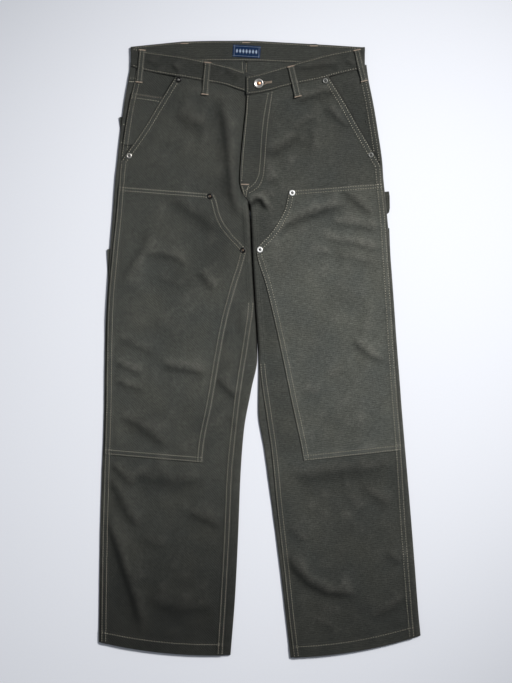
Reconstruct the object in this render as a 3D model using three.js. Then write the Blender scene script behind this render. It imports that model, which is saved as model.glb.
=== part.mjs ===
// Double-knee carpenter trousers, laid flat and front side up.
// Millimetres. +X runs to the wearer's left leg, +Y to the waist and +Z up from the surface.
// The back panels lie on the surface, wrap round both side folds and meet the front panels there.
import * as THREE from "three";

// Driving dimensions of the cloth
const CLOTH = 1.2;
const GAP = 0.3;
const HEM_CLOTH = 1.8;
const HEM_DEPTH = 20;
const FOLD_RADIUS = 1.6;
const FOLD_OUTSIDE = FOLD_RADIUS + CLOTH / 2;
const LEG_THICKNESS = 2 * FOLD_OUTSIDE;
const PUFF = 0.9;
const PUFF_REACH = 45;
const LOWEST_FRONT = CLOTH + GAP + CLOTH + 0.1;
const HIGHEST_FRONT = LEG_THICKNESS + 1.9;

// Layers that lie under the back panels and raise them
const UNDER_CLOTH = 1.0;
const LIFT = UNDER_CLOTH + GAP;
const LIFT_START = 15;
const LIFT_FULL = 58;

// Waistband, belt loops and hardware
const BAND_CLOTH = 2.4;
const BAND_INSIDE_GAP = 0.4;
const LOOP_WIDTH = 12;
const LOOP_CLOTH = 1.2;
const LABEL_SIZE = { x: -25.5, y: 536, width: 50, height: 22, thickness: 0.8, tilt: -0.06 };
const BUTTON = { x: -3.9, y: 477.2, radius: 8.6, height: 3.2 };
const BUTTON_SIDES = 28;
const RIVET = { radius: 5.2, height: 1.5, sides: 16 };
const SEAT_SHARE = 0.7;

// Fly, slash pockets and crotch
const FLY_UNDER_TOP = 3.4;
const FLY_OVER_TOP = FLY_UNDER_TOP + GAP + CLOTH;
const SLASH_FACING_TOP = 3.6;
const SLASH_EDGE_TOP = SLASH_FACING_TOP + GAP + CLOTH;
const SLASH_REACH = 34;
const SLASH_FADE = 20;
const SLASH_RAMP = { before: 34, length: 26 };
const FACING_UNDERLAP = 14;
const FACING_START = 12;
const FACING_CLEAR = 2;
const FACING_STRIPS = 7;
const COIN_POCKET = { firstRow: 1, lastRow: 5, edgeInset: 1.2 };
const CROTCH_Y = 262;
const CROTCH_RAMP = 26;
const FLY_LAP = 12;
const CENTRE_BACK_RAMP = 20;
const CURL_FULL_Y = 216;
const EDGE_CALM = 18;
const WAIST_GAP = 0.5;
const FACING_GAP = 0.6;

// Colours and roughness of each finish
const FINISH = {
  duck: { color: 0x46463f, roughness: 0.92, metalness: 0 },
  duckDark: { color: 0x3b3b36, roughness: 0.92, metalness: 0 },
  label: { color: 0x14284e, roughness: 0.8, metalness: 0 },
  nickel: { color: 0x8f8b84, roughness: 0.35, metalness: 1 },
  bronze: { color: 0x5a4a3a, roughness: 0.45, metalness: 1 },
};

// Edge lines of each leg, top to bottom: side fold, outseam, inseam and inner fold at height y
const RIGHT_LEG = [
  { y: 546, outer: -233.6, outseam: -221.0, inseam: -14.5, inner: -14.5 },
  { y: 507, outer: -235.4, outseam: -224.2, inseam: -15.0, inner: -15.0 },
  { y: 484, outer: -238.9, outseam: -227.1, inseam: -15.5, inner: -15.5 },
  { y: 441, outer: -246.2, outseam: -236.8, inseam: -17.0, inner: -17.0 },
  { y: 391, outer: -252.9, outseam: -245.2, inseam: -22.0, inner: -22.0 },
  { y: 338, outer: -258.5, outseam: -251.7, inseam: -26.8, inner: -26.8 },
  { y: 302, outer: -262.3, outseam: -254.6, inseam: -28.4, inner: -28.4 },
  { y: 274, outer: -264.5, outseam: -256.9, inseam: -25.2, inner: -25.2 },
  { y: 247, outer: -266.4, outseam: -259.2, inseam: -23.1, inner: -20.3 },
  { y: 169, outer: -272.2, outseam: -267.0, inseam: -19.5, inner: -16.5 },
  { y: 88, outer: -277.5, outseam: -273.9, inseam: -14.8, inner: -11.8 },
  { y: 22, outer: -280.4, outseam: -276.4, inseam: -19.9, inner: -7.6 },
  { y: -14, outer: -280.9, outseam: -277.0, inseam: -25.5, inner: -6.0 },
  { y: -74, outer: -281.8, outseam: -277.8, inseam: -34.8, inner: -17.2 },
  { y: -146, outer: -283.2, outseam: -279.5, inseam: -43.4, inner: -30.2 },
  { y: -227, outer: -286.4, outseam: -282.2, inseam: -51.0, inner: -36.4 },
  { y: -335, outer: -289.4, outseam: -285.4, inseam: -55.6, inner: -40.7 },
  { y: -443, outer: -290.9, outseam: -287.0, inseam: -61.5, inner: -46.0 },
  { y: -556, outer: -292.1, outseam: -288.1, inseam: -68.3, inner: -54.8 },
];
const LEFT_LEG = [
  { y: 546, outer: 186.9, outseam: 182.5, inseam: -25.7, inner: -25.7 },
  { y: 507, outer: 191.1, outseam: 187.0, inseam: -25.3, inner: -25.3 },
  { y: 484, outer: 194.4, outseam: 190.4, inseam: -24.8, inner: -24.8 },
  { y: 441, outer: 203.0, outseam: 199.0, inseam: -25.8, inner: -25.8 },
  { y: 391, outer: 211.3, outseam: 207.3, inseam: -30.9, inner: -30.9 },
  { y: 338, outer: 218.8, outseam: 214.9, inseam: -35.8, inner: -35.8 },
  { y: 302, outer: 221.4, outseam: 217.6, inseam: -37.5, inner: -37.5 },
  { y: 286, outer: 223.1, outseam: 219.3, inseam: -34.0, inner: -34.0 },
  { y: 262, outer: 225.6, outseam: 221.8, inseam: -19.9, inner: -19.9 },
  { y: 247, outer: 227.1, outseam: 223.3, inseam: -15.8, inner: -18.3 },
  { y: 169, outer: 233.6, outseam: 228.5, inseam: -11.7, inner: -14.7 },
  { y: 88, outer: 239.6, outseam: 234.0, inseam: -7.0, inner: -10.0 },
  { y: 22, outer: 244.3, outseam: 238.1, inseam: -2.9, inner: -5.9 },
  { y: -41, outer: 249.2, outseam: 242.2, inseam: 0.4, inner: -3.7 },
  { y: -110, outer: 254.3, outseam: 247.5, inseam: 8.7, inner: -4.4 },
  { y: -182, outer: 260.4, outseam: 253.2, inseam: 19.2, inner: 6.7 },
  { y: -281, outer: 268.9, outseam: 259.2, inseam: 28.8, inner: 20.0 },
  { y: -389, outer: 277.5, outseam: 266.7, inseam: 40.8, inner: 34.3 },
  { y: -484, outer: 284.9, outseam: 274.2, inseam: 50.5, inner: 45.3 },
  { y: -556, outer: 292.3, outseam: 280.4, inseam: 59.1, inner: 53.4 },
];

// Free edge of each knee patch, carried on above and below it as a line of the front panel
const RIGHT_PATCH_EDGE = [
  { y: 492, x: -98.5 },
  { y: 358, x: -91.4 },
  { y: 282, x: -86.0 },
  { y: 270, x: -79.8 },
  { y: 247, x: -74.2 },
  { y: 227, x: -65.8 },
  { y: 208, x: -52.0 },
  { y: 192, x: -36.8 },
  { y: 177, x: -26.0 },
  { y: 164, x: -28.5 },
  { y: 104, x: -46.4 },
  { y: 40, x: -62.9 },
  { y: -92, x: -86.0 },
  { y: -195, x: -104.0 },
  { y: -556, x: -114.0 },
];
const LEFT_PATCH_EDGE = [
  { y: 492, x: 58.1 },
  { y: 358, x: 52.6 },
  { y: 287, x: 50.9 },
  { y: 274, x: 48.5 },
  { y: 256, x: 44.7 },
  { y: 232, x: 33.8 },
  { y: 210, x: 19.2 },
  { y: 186, x: -3.1 },
  { y: 178, x: -8.0 },
  { y: 169, x: -6.9 },
  { y: 116, x: 9.1 },
  { y: 8, x: 34.3 },
  { y: -92, x: 55.0 },
  { y: -198, x: 77.1 },
  { y: -556, x: 124.7 },
];

// Slash pocket edges, from the waistband down to the outseam
const RIGHT_SLASH = [
  { y: 496, x: -149.5 },
  { y: 443, x: -182.2 },
  { y: 396, x: -210.7 },
  { y: 356, x: -238.6 },
  { y: 338, x: -251.7 },
];
const LEFT_SLASH = [
  { y: 492, x: 120.4 },
  { y: 443, x: 150.8 },
  { y: 401, x: 174.2 },
  { y: 364, x: 196.0 },
  { y: 330, x: 215.5 },
];

// Waistband edges along x, and how far its front left end is raised to lap over the right end
const BAND_FRONT_RIGHT = [
  { x: -231.4, top: 543.5, bottom: 508.0, raise: 0 },
  { x: -219.2, top: 539.5, bottom: 504.0, raise: 0 },
  { x: -204.8, top: 536.0, bottom: 500.2, raise: 0 },
  { x: -180.0, top: 532.4, bottom: 495.4, raise: 0 },
  { x: -149.0, top: 528.1, bottom: 490.3, raise: 0 },
  { x: -104.0, top: 519.5, bottom: 482.4, raise: 0 },
  { x: -60.8, top: 509.8, bottom: 474.1, raise: 0 },
  { x: -37.4, top: 501.7, bottom: 466.2, raise: 0 },
  { x: -12.2, top: 494.0, bottom: 459.5, raise: 0 },
];
const BAND_FRONT_LEFT = [
  { x: 184.7, top: 543.5, bottom: 503.8, raise: 0 },
  { x: 166.1, top: 539.6, bottom: 500.8, raise: 0 },
  { x: 131.8, top: 533.2, bottom: 492.5, raise: 0 },
  { x: 110.2, top: 527.8, bottom: 486.4, raise: 0 },
  { x: 67.0, top: 516.1, bottom: 477.4, raise: 0 },
  { x: 45.5, top: 510.1, bottom: 472.7, raise: 0.3 },
  { x: 20.0, top: 501.8, bottom: 465.3, raise: 1.7 },
  { x: -6.0, top: 494.4, bottom: 459.7, raise: 2.7 },
  { x: -26.6, top: 490.3, bottom: 457.6, raise: 2.7 },
];
const BAND_BACK = [
  { x: -231.4, top: 545.2, bottom: 508.0 },
  { x: -190.3, top: 549.4, bottom: 512.3 },
  { x: -132.8, top: 554.4, bottom: 516.1 },
  { x: -77.0, top: 555.7, bottom: 518.0 },
  { x: -30.2, top: 555.7, bottom: 517.9 },
  { x: 49.1, top: 552.2, bottom: 515.2 },
  { x: 124.7, top: 547.9, bottom: 510.1 },
  { x: 184.7, top: 544.0, bottom: 503.8 },
];

// Largest folds: soft troughs (depth above zero) and ridges (below zero) across each front panel
const RIGHT_FOLDS = [
  { fromX: -62, fromY: 448, toX: -60, toY: 250, width: 26, depth: 1.1 },
  { fromX: -122, fromY: 262, toX: -92, toY: 214, width: 24, depth: 1.2 },
  { fromX: -196, fromY: 166, toX: -150, toY: 158, width: 26, depth: 0.7 },
  { fromX: -262, fromY: 24, toX: -214, toY: 8, width: 24, depth: 0.8 },
  { fromX: -258, fromY: -24, toX: -216, toY: -46, width: 26, depth: 0.8 },
  { fromX: -146, fromY: -34, toX: -98, toY: -44, width: 24, depth: 0.7 },
  { fromX: -264, fromY: -124, toX: -166, toY: -182, width: 30, depth: 0.8 },
  { fromX: -230, fromY: -240, toX: -94, toY: -268, width: 34, depth: 1.2 },
  { fromX: -268, fromY: -292, toX: -238, toY: -354, width: 28, depth: 0.9 },
  { fromX: -252, fromY: -410, toX: -218, toY: -510, width: 28, depth: 1.0 },
  { fromX: -200, fromY: -462, toX: -78, toY: -480, width: 34, depth: 1.2 },
  { fromX: -180, fromY: 80, toX: -120, toY: -60, width: 60, depth: -0.7 },
  { fromX: -180, fromY: -330, toX: -120, toY: -420, width: 50, depth: -0.7 },
];
const LEFT_FOLDS = [
  { fromX: 18, fromY: 380, toX: 60, toY: 344, width: 26, depth: 1.0 },
  { fromX: 94, fromY: 408, toX: 98, toY: 340, width: 24, depth: 0.9 },
  { fromX: 42, fromY: 214, toX: 142, toY: 254, width: 28, depth: 1.2 },
  { fromX: 146, fromY: 278, toX: 208, toY: 244, width: 26, depth: 0.9 },
  { fromX: 128, fromY: 200, toX: 214, toY: 162, width: 26, depth: 0.7 },
  { fromX: 152, fromY: 22, toX: 218, toY: -22, width: 28, depth: 0.9 },
  { fromX: 48, fromY: -243, toX: 238, toY: -214, width: 36, depth: 1.3 },
  { fromX: 56, fromY: -390, toX: 134, toY: -436, width: 30, depth: 1.2 },
  { fromX: 252, fromY: -452, toX: 196, toY: -488, width: 28, depth: 1.1 },
  { fromX: 110, fromY: 100, toX: 150, toY: -90, width: 60, depth: -0.7 },
  { fromX: 130, fromY: -300, toX: 170, toY: -420, width: 55, depth: -0.7 },
];

// Numeric helpers
const clamp01 = (value) => Math.min(1, Math.max(0, value));
const ease = (value) => clamp01(value) ** 2 * (3 - 2 * clamp01(value));
const mix = (a, b, t) => a + (b - a) * t;

// Smooth curve through the rows of a table, held at its first and last values
function curveOf(table, input, output) {
  const rows = [...table].sort((a, b) => a[input] - b[input]);
  const at = rows.map((row) => row[input]);
  const values = rows.map((row) => row[output]);
  const steps = at.slice(1).map((x, i) => (values[i + 1] - values[i]) / (x - at[i]));
  const slopes = values.map((_, i) => {
    if (i === 0) return steps[0];
    if (i === steps.length) return steps[i - 1];
    return steps[i - 1] * steps[i] <= 0 ? 0 : (2 * steps[i - 1] * steps[i]) / (steps[i - 1] + steps[i]);
  });
  return (x) => {
    const inside = Math.min(Math.max(x, at[0]), at[at.length - 1]);
    const found = at.findIndex((limit) => inside <= limit);
    const i = Math.max(0, found - 1);
    const span = at[i + 1] - at[i];
    const t = (inside - at[i]) / span;
    const rise = t * t * (3 - 2 * t);
    const leave = t * (1 - t) ** 2 * span * slopes[i];
    const arrive = t * t * (t - 1) * span * slopes[i + 1];
    return mix(values[i], values[i + 1], rise) + leave + arrive;
  };
}

// Straight lines through the rows of a table, held at its first and last values
function polylineOf(table, input, output) {
  const rows = [...table].sort((a, b) => a[input] - b[input]);
  return (x) => {
    const inside = Math.min(Math.max(x, rows[0][input]), rows.at(-1)[input]);
    const found = rows.findIndex((row) => inside <= row[input]);
    const [from, to] = [rows[Math.max(0, found - 1)], rows[Math.max(1, found)]];
    return mix(from[output], to[output], (inside - from[input]) / (to[input] - from[input]));
  };
}

// Depth of a list of folds at one point: a soft round trough along each fold line
function foldDepth(folds, x, y) {
  let depth = 0;
  for (const fold of folds) {
    const runX = fold.toX - fold.fromX;
    const runY = fold.toY - fold.fromY;
    const along = ((x - fold.fromX) * runX + (y - fold.fromY) * runY) / (runX ** 2 + runY ** 2);
    const nearest = clamp01(along);
    const distance = Math.hypot(x - fold.fromX - nearest * runX, y - fold.fromY - nearest * runY);
    depth += fold.depth * Math.exp(-((distance / (fold.width / 2)) ** 2));
  }
  return depth;
}

// How far the layers under the back raise everything at height y
const liftAt = (y) => LIFT * ease((y - LIFT_START) / (LIFT_FULL - LIFT_START));

// Closed wall between two grids of points with the same rows and columns
function wallBetween(outside, inside) {
  const rows = outside.length;
  const columns = outside[0].length;
  const points = [...outside.flat(), ...inside.flat()];
  const sheet = rows * columns;
  const at = (row, column) => row * columns + column;
  const index = [];
  const quad = (a, b, c, d) => index.push(a, b, c, a, c, d);
  for (let row = 0; row < rows - 1; row += 1) {
    for (let column = 0; column < columns - 1; column += 1) {
      const corners = [at(row, column), at(row, column + 1), at(row + 1, column + 1), at(row + 1, column)];
      quad(...corners);
      const [a, b, c, d] = corners.map((corner) => corner + sheet);
      index.push(a, c, b, a, d, c);
    }
  }
  const rim = [];
  for (let column = 0; column < columns - 1; column += 1) rim.push(at(0, column));
  for (let row = 0; row < rows - 1; row += 1) rim.push(at(row, columns - 1));
  for (let column = columns - 1; column > 0; column -= 1) rim.push(at(rows - 1, column));
  for (let row = rows - 1; row > 0; row -= 1) rim.push(at(row, 0));
  rim.forEach((start, i) => {
    const end = rim[(i + 1) % rim.length];
    quad(end, start, start + sheet, end + sheet);
  });
  return solidOf(points, index);
}

// Indexed geometry whose faces point outward
function solidOf(points, index) {
  const a = new THREE.Vector3();
  let volume = 0;
  for (let i = 0; i < index.length; i += 3) {
    a.crossVectors(points[index[i + 1]], points[index[i + 2]]);
    volume += points[index[i]].dot(a);
  }
  const ordered = volume < 0 ? index.toReversed() : index;
  const geometry = new THREE.BufferGeometry();
  geometry.setFromPoints(points);
  geometry.setIndex(ordered);
  geometry.computeVertexNormals();
  return geometry;
}

// Height of the highest upward face of a grid over a point, or minus infinity beside it
function heightOn(grid, x, y) {
  let height = -Infinity;
  const weigh = (p, q, r) => {
    const area = (q.x - p.x) * (r.y - p.y) - (r.x - p.x) * (q.y - p.y);
    const u = ((x - p.x) * (r.y - p.y) - (r.x - p.x) * (y - p.y)) / area;
    const v = ((q.x - p.x) * (y - p.y) - (x - p.x) * (q.y - p.y)) / area;
    if (u >= 0 && v >= 0 && u + v <= 1) height = Math.max(height, p.z + u * (q.z - p.z) + v * (r.z - p.z));
  };
  for (let row = 0; row < grid.length - 1; row += 1) {
    for (let column = 0; column < grid[0].length - 1; column += 1) {
      const [a, b] = [grid[row][column], grid[row][column + 1]];
      const [d, c] = [grid[row + 1][column], grid[row + 1][column + 1]];
      weigh(a, b, c);
      weigh(a, c, d);
    }
  }
  return height;
}

const raised = (grid, amount) => grid.map((row) => row.map((p) => p.clone().setZ(p.z + amount)));

const trousers = new THREE.Group();

function add(name, geometry, finish) {
  const mesh = new THREE.Mesh(geometry, new THREE.MeshStandardMaterial(FINISH[finish]));
  mesh.name = name;
  trousers.add(mesh);
  return mesh;
}

// One leg: its edge curves, the lines that cross it, and the direction from its inner fold outward
const bandFrontRight = polylineOf(BAND_FRONT_RIGHT, "x", "bottom");
const bandFrontLeft = polylineOf(BAND_FRONT_LEFT, "x", "bottom");
const bandBackBottom = polylineOf(BAND_BACK, "x", "bottom");
const straight = (x0, y0, x1, y1, bow = 0) => (x) => {
  const t = clamp01((x - x0) / (x1 - x0));
  return mix(y0, y1, (x - x0) / (x1 - x0)) - 4 * bow * t * (1 - t);
};

const LEGS = {
  right: {
    outward: -1,
    edges: RIGHT_LEG,
    patchEdge: curveOf(RIGHT_PATCH_EDGE, "y", "x"),
    slash: curveOf(RIGHT_SLASH, "y", "x"),
    slashEnd: 338,
    folds: RIGHT_FOLDS,
    centreBack: { x: -26.9, from: 240 },
    lines: {
      hem: straight(-292.1, -527.8, -54.8, -551.2, 8),
      hemTop: straight(-291.8, -527.8 + HEM_DEPTH, -54.3, -551.2 + HEM_DEPTH, 8),
      patchBottom: straight(-284.2, -189.5, -34.8, -210.0),
      patchPoint: straight(-271.0, 196.0, -16.8, 176.5),
      patchTop: straight(-263.3, 293.2, -28.0, 274.6),
      waist: (x) => bandFrontRight(x) - WAIST_GAP,
      yokeSeam: straight(-238.9, 484.0, -26.9, 449.0),
      backWaist: (x) => bandBackBottom(x) - WAIST_GAP,
    },
  },
  left: {
    outward: 1,
    edges: LEFT_LEG,
    patchEdge: curveOf(LEFT_PATCH_EDGE, "y", "x"),
    slash: curveOf(LEFT_SLASH, "y", "x"),
    slashEnd: 330,
    folds: LEFT_FOLDS,
    centreBack: { x: -26.3, from: 246 },
    lines: {
      hem: straight(292.3, -514.6, 53.4, -555.9, 9),
      hemTop: straight(290.0, -514.6 + HEM_DEPTH, 51.6, -555.9 + HEM_DEPTH, 9),
      patchBottom: straight(260.5, -181.4, 7.5, -208.6),
      patchPoint: straight(231.2, 197.0, -15.0, 177.6),
      patchTop: straight(221.6, 298.0, -37.4, 277.8),
      waist: (x) => bandFrontLeft(x) - WAIST_GAP,
      yokeSeam: straight(194.4, 484.0, -26.3, 449.0),
      backWaist: (x) => bandBackBottom(x) - WAIST_GAP,
    },
  },
};
for (const leg of Object.values(LEGS)) {
  for (const edge of ["outer", "outseam", "inseam", "inner"]) leg[edge] = curveOf(leg.edges, "y", edge);
}

// Crossing lines from one named line to the next, with the number of strips between each pair
function crossings(lines, stages) {
  const found = [lines[stages[0].line]];
  for (let i = 1; i < stages.length; i += 1) {
    const from = lines[stages[i - 1].line];
    const to = lines[stages[i].line];
    for (let k = 1; k <= stages[i].strips; k += 1) {
      const t = k / stages[i].strips;
      found.push((x) => mix(from(x), to(x), t));
    }
  }
  return found;
}

// Where an edge curve x(y) meets a crossing line y(x), by repeated substitution
const MEET_ROUNDS = 12;
function meet(edge, line) {
  let y = line(edge(0));
  for (let i = 0; i < MEET_ROUNDS; i += 1) y = line(edge(y));
  return { x: edge(y), y };
}

const FRONT_STAGES = [
  { line: "hem" },
  { line: "hemTop", strips: 1 },
  { line: "patchBottom", strips: 11 },
  { line: "patchPoint", strips: 13 },
  { line: "patchTop", strips: 4 },
  { line: "waist", strips: 9 },
];
const PATCH_ROWS = { first: 12, last: 29 };
const PATCH_CELLS = 9;
const INNER_CELLS = 5;

// Top of the front panel over the surface
function frontTop(leg, side, x, y, outerX, innerX) {
  const fromOuter = Math.abs(x - outerX);
  const fromInner = Math.abs(x - innerX);
  const aboveSlash = ease((y - leg.slashEnd + SLASH_RAMP.before) / SLASH_RAMP.length);
  const aboveCrotch = ease((y - CROTCH_Y + CROTCH_RAMP) / CROTCH_RAMP);
  const flyTop = side === "right" ? FLY_UNDER_TOP : FLY_OVER_TOP;
  const outerTop = mix(LEG_THICKNESS, SLASH_EDGE_TOP, aboveSlash);
  const innerTop = mix(LEG_THICKNESS, flyTop, aboveCrotch);
  const middle = LEG_THICKNESS + PUFF;
  let top = middle;
  top += (outerTop - middle) * (1 - ease(fromOuter / PUFF_REACH));
  top += (innerTop - middle) * (1 - ease((fromInner - FLY_LAP * aboveCrotch) / PUFF_REACH));
  const calm = ease(fromOuter / EDGE_CALM) * ease(fromInner / EDGE_CALM);
  top -= calm * foldDepth(leg.folds, x, y);
  const overFacing = aboveSlash * (1 - ease((fromOuter - SLASH_REACH) / SLASH_FADE));
  const lowest = mix(LOWEST_FRONT, SLASH_EDGE_TOP, overFacing);
  return liftAt(y) + Math.min(HIGHEST_FRONT, Math.max(lowest, top));
}

// Grid of the front panel's outer face, from the hem up and from the outer edge in
function frontGrid(leg, side) {
  const outerEdge = (y) => (y < leg.slashEnd ? leg.outseam(y) : leg.slash(y)) - leg.outward * GAP / 2;
  const innerEdge = (y) => leg.inseam(y) + (y < CROTCH_Y ? (leg.outward * GAP) / 2 : 0);
  return crossings(leg.lines, FRONT_STAGES).map((line) => {
    const outer = meet(outerEdge, line);
    const middle = meet(leg.patchEdge, line);
    const inner = meet(innerEdge, line);
    const xs = [];
    for (let k = 0; k < PATCH_CELLS; k += 1) xs.push(mix(outer.x, middle.x, k / PATCH_CELLS));
    for (let k = 0; k <= INNER_CELLS; k += 1) xs.push(mix(middle.x, inner.x, k / INNER_CELLS));
    return xs.map((x) => {
      const y = line(x);
      return new THREE.Vector3(x, y, frontTop(leg, side, x, y, outer.x, inner.x));
    });
  });
}

// Back and yoke: positions along the half-round fold, measured past its start on the surface
const HALF_TURN = Math.PI * FOLD_RADIUS;
const FOLD_CELLS = 4;
const FLAT_START = -4;
function foldSteps(wrapped, strip) {
  if (strip > 0) return [0, HALF_TURN / 3, (2 * HALF_TURN) / 3, HALF_TURN, HALF_TURN + strip];
  const start = FLAT_START * (1 - wrapped / HALF_TURN);
  return Array.from({ length: FOLD_CELLS + 1 }, (_, k) => mix(start, wrapped, k / FOLD_CELLS));
}

// Point on either face of the folded wall: face 1 is its outer face and -1 its inner face
function foldPoint(step, foldStart, outward, face, cloth) {
  const reach = face === 1 ? FOLD_OUTSIDE : FOLD_OUTSIDE - cloth;
  const angle = Math.min(Math.max(step, 0) / FOLD_RADIUS, Math.PI);
  const straightPart = step < 0 ? step : Math.min(0, HALF_TURN - step);
  return {
    x: foldStart + outward * (reach * Math.sin(angle) + straightPart),
    z: FOLD_OUTSIDE - reach * Math.cos(angle),
  };
}

// Both faces of one crossing of the back: inner fold, surface layer and outer fold
function backCrossing(leg, line, cloth, cells) {
  const frontLine = (x) => Math.min(line(x), leg.lines.waist(x));
  const outer = meet(leg.outer, line);
  const outseamX = leg.outseam(outer.y) + (leg.outward * GAP) / 2;
  const inner = meet(leg.inner, line);
  const turned = 1 - ease((inner.y - CURL_FULL_Y) / (CROTCH_Y - CURL_FULL_Y));
  const centre = ease((inner.y - leg.centreBack.from) / CENTRE_BACK_RAMP);
  const innerX = mix(inner.x, leg.centreBack.x, centre);
  const innerY = line(innerX);
  const wrapped = HALF_TURN * turned;
  const curl = Math.min(Math.PI / 2, wrapped / FOLD_RADIUS);
  const innerStart = innerX + leg.outward * FOLD_OUTSIDE * Math.sin(curl);
  const outerStart = outer.x - leg.outward * FOLD_OUTSIDE;
  const inseamX = leg.inseam(innerY) - (leg.outward * GAP) / 2;
  const innerStrip = turned === 1 ? Math.abs(innerStart - inseamX) : 0;
  const outerStrip = Math.abs(outerStart - outseamX);
  const innerSteps = foldSteps(wrapped, innerStrip);
  const outerSteps = foldSteps(HALF_TURN, outerStrip);
  const face = (which) => {
    const row = [];
    for (const step of innerSteps.toReversed()) {
      const { x, z } = foldPoint(step, innerStart, -leg.outward, which, cloth);
      row.push(new THREE.Vector3(x, step > HALF_TURN ? line(x) : innerY, liftAt(innerY) + z));
    }
    const firstX = row[row.length - 1].x;
    for (let k = 1; k < cells; k += 1) {
      const x = mix(firstX, outerStart, k / cells);
      const y = line(x);
      row.push(new THREE.Vector3(x, y, liftAt(y) + (which === 1 ? 0 : cloth)));
    }
    for (const step of outerSteps) {
      const { x, z } = foldPoint(step, outerStart, leg.outward, which, cloth);
      row.push(new THREE.Vector3(x, step > HALF_TURN ? frontLine(x) : outer.y, liftAt(outer.y) + z));
    }
    return row;
  };
  return { outside: face(1), inside: face(-1) };
}

function backWall(leg, stages, hemRows, cells) {
  const lines = crossings(leg.lines, stages);
  const rows = lines.map((line, i) => backCrossing(leg, line, i < hemRows ? HEM_CLOTH : CLOTH, cells));
  return wallBetween(rows.map((row) => row.outside), rows.map((row) => row.inside));
}

const BACK_STAGES = [
  { line: "hem" },
  { line: "hemTop", strips: 1 },
  { line: "patchBottom", strips: 11 },
  { line: "patchPoint", strips: 13 },
  { line: "patchTop", strips: 4 },
  { line: "yokeSeam", strips: 7 },
];
const YOKE_STAGES = [{ line: "aboveYokeSeam" }, { line: "backWaist", strips: 2 }];
const HEM_ROWS = 2;
const BACK_CELLS = 4;
const YOKE_CELLS = 10;

// Facing seen inside each slash pocket, from the outseam to under the front panel
function facingGrid(leg) {
  const bottom = leg.slashEnd + FACING_START;
  const rows = [];
  for (let k = 0; k <= FACING_STRIPS; k += 1) {
    const line = (x) => mix(bottom, leg.lines.waist(x), k / FACING_STRIPS);
    const outer = meet((y) => leg.outseam(y) - leg.outward * FACING_GAP, line);
    const slash = meet(leg.slash, line);
    const under = slash.x - leg.outward * FACING_UNDERLAP;
    const lowX = slash.x + leg.outward * FACING_CLEAR;
    const columns = [0, 0.25, 0.5, 0.75, 1].map((t) => ({
      x: mix(outer.x, lowX, t),
      top: mix(LEG_THICKNESS, SLASH_FACING_TOP, ease(t)),
    }));
    columns.push({ x: under, top: SLASH_FACING_TOP });
    rows.push(columns.map(({ x, top }) => new THREE.Vector3(x, line(x), liftAt(line(x)) + top)));
  }
  return rows;
}

const fronts = {};
const patches = {};
const facings = {};
for (const [side, leg] of Object.entries(LEGS)) {
  leg.lines.aboveYokeSeam = (x) => leg.lines.yokeSeam(x) + GAP;
  const front = frontGrid(leg, side);
  fronts[side] = front;
  const hemmed = [...raised(front.slice(0, HEM_ROWS), HEM_CLOTH - CLOTH), ...front.slice(HEM_ROWS)];
  add(`front_panel_${side}`, wallBetween(hemmed, raised(front, -CLOTH)), "duck");
  add(`back_panel_${side}`, backWall(leg, BACK_STAGES, HEM_ROWS, BACK_CELLS), "duck");
  add(`back_yoke_${side}`, backWall(leg, YOKE_STAGES, 0, YOKE_CELLS), "duck");

  const knee = front.slice(PATCH_ROWS.first, PATCH_ROWS.last + 1).map((row) => row.slice(0, PATCH_CELLS + 1));
  patches[side] = raised(knee, GAP + CLOTH);
  add(`knee_patch_${side}`, wallBetween(patches[side], raised(knee, GAP)), "duck");

  facings[side] = facingGrid(leg);
  add(`pocket_facing_${side}`, wallBetween(facings[side], raised(facings[side], -CLOTH)), "duckDark");
}

// Coin pocket on the right facing, below its own top edge
const coinRows = facings.right.slice(COIN_POCKET.firstRow, COIN_POCKET.lastRow + 1);
const coinUnder = raised(coinRows.map((row) => row.slice(0, -1)), GAP);
for (const row of coinUnder) row.at(-1).x -= COIN_POCKET.edgeInset;
const coinTop = raised(coinUnder, CLOTH);
add("coin_pocket", wallBetween(coinTop, coinUnder), "duck");

// Waistband: one strip from the right front end, round the back, to the left front end
const bandBackMiddle = LIFT + BAND_CLOTH / 2;
const bandTurn = (BAND_CLOTH + BAND_INSIDE_GAP) / 2;
const bandFrontMiddle = bandBackMiddle + 2 * bandTurn;

const TURN_CELLS = 4;

// Sections of the band, each with its middle height and the direction that its outer face points
function bandSections() {
  const sections = [];
  const front = (row) => ({ ...row, z: bandFrontMiddle + row.raise, faceX: 0, faceZ: 1 });
  const back = (row) => ({ ...row, z: bandBackMiddle, faceX: 0, faceZ: -1 });
  const turn = (from, to, outward) => {
    for (let k = 1; k < TURN_CELLS; k += 1) {
      const t = k / TURN_CELLS;
      const rise = Math.sign(from.z - to.z) * Math.cos(t * Math.PI);
      const reach = outward * Math.sin(t * Math.PI);
      sections.push({
        x: from.x + bandTurn * reach,
        top: mix(from.top, to.top, t),
        bottom: mix(from.bottom, to.bottom, t),
        z: (from.z + to.z) / 2 + bandTurn * rise,
        faceX: reach,
        faceZ: rise,
      });
    }
  };
  const rightFront = BAND_FRONT_RIGHT.map(front).reverse();
  const middle = BAND_BACK.map(back);
  const leftFront = BAND_FRONT_LEFT.map(front);
  sections.push(...rightFront);
  turn(rightFront.at(-1), middle[0], -1);
  sections.push(...middle);
  turn(middle.at(-1), leftFront[0], 1);
  sections.push(...leftFront);
  return sections;
}

const bandFace = (offset) => bandSections().map((section) => [0, 0.5, 1].map((t) => new THREE.Vector3(
  section.x + section.faceX * offset,
  mix(section.bottom, section.top, t),
  section.z + section.faceZ * offset,
)));
const bandOutside = bandFace(BAND_CLOTH / 2);
add("waistband", wallBetween(bandOutside, bandFace(-BAND_CLOTH / 2)), "duck");

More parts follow.
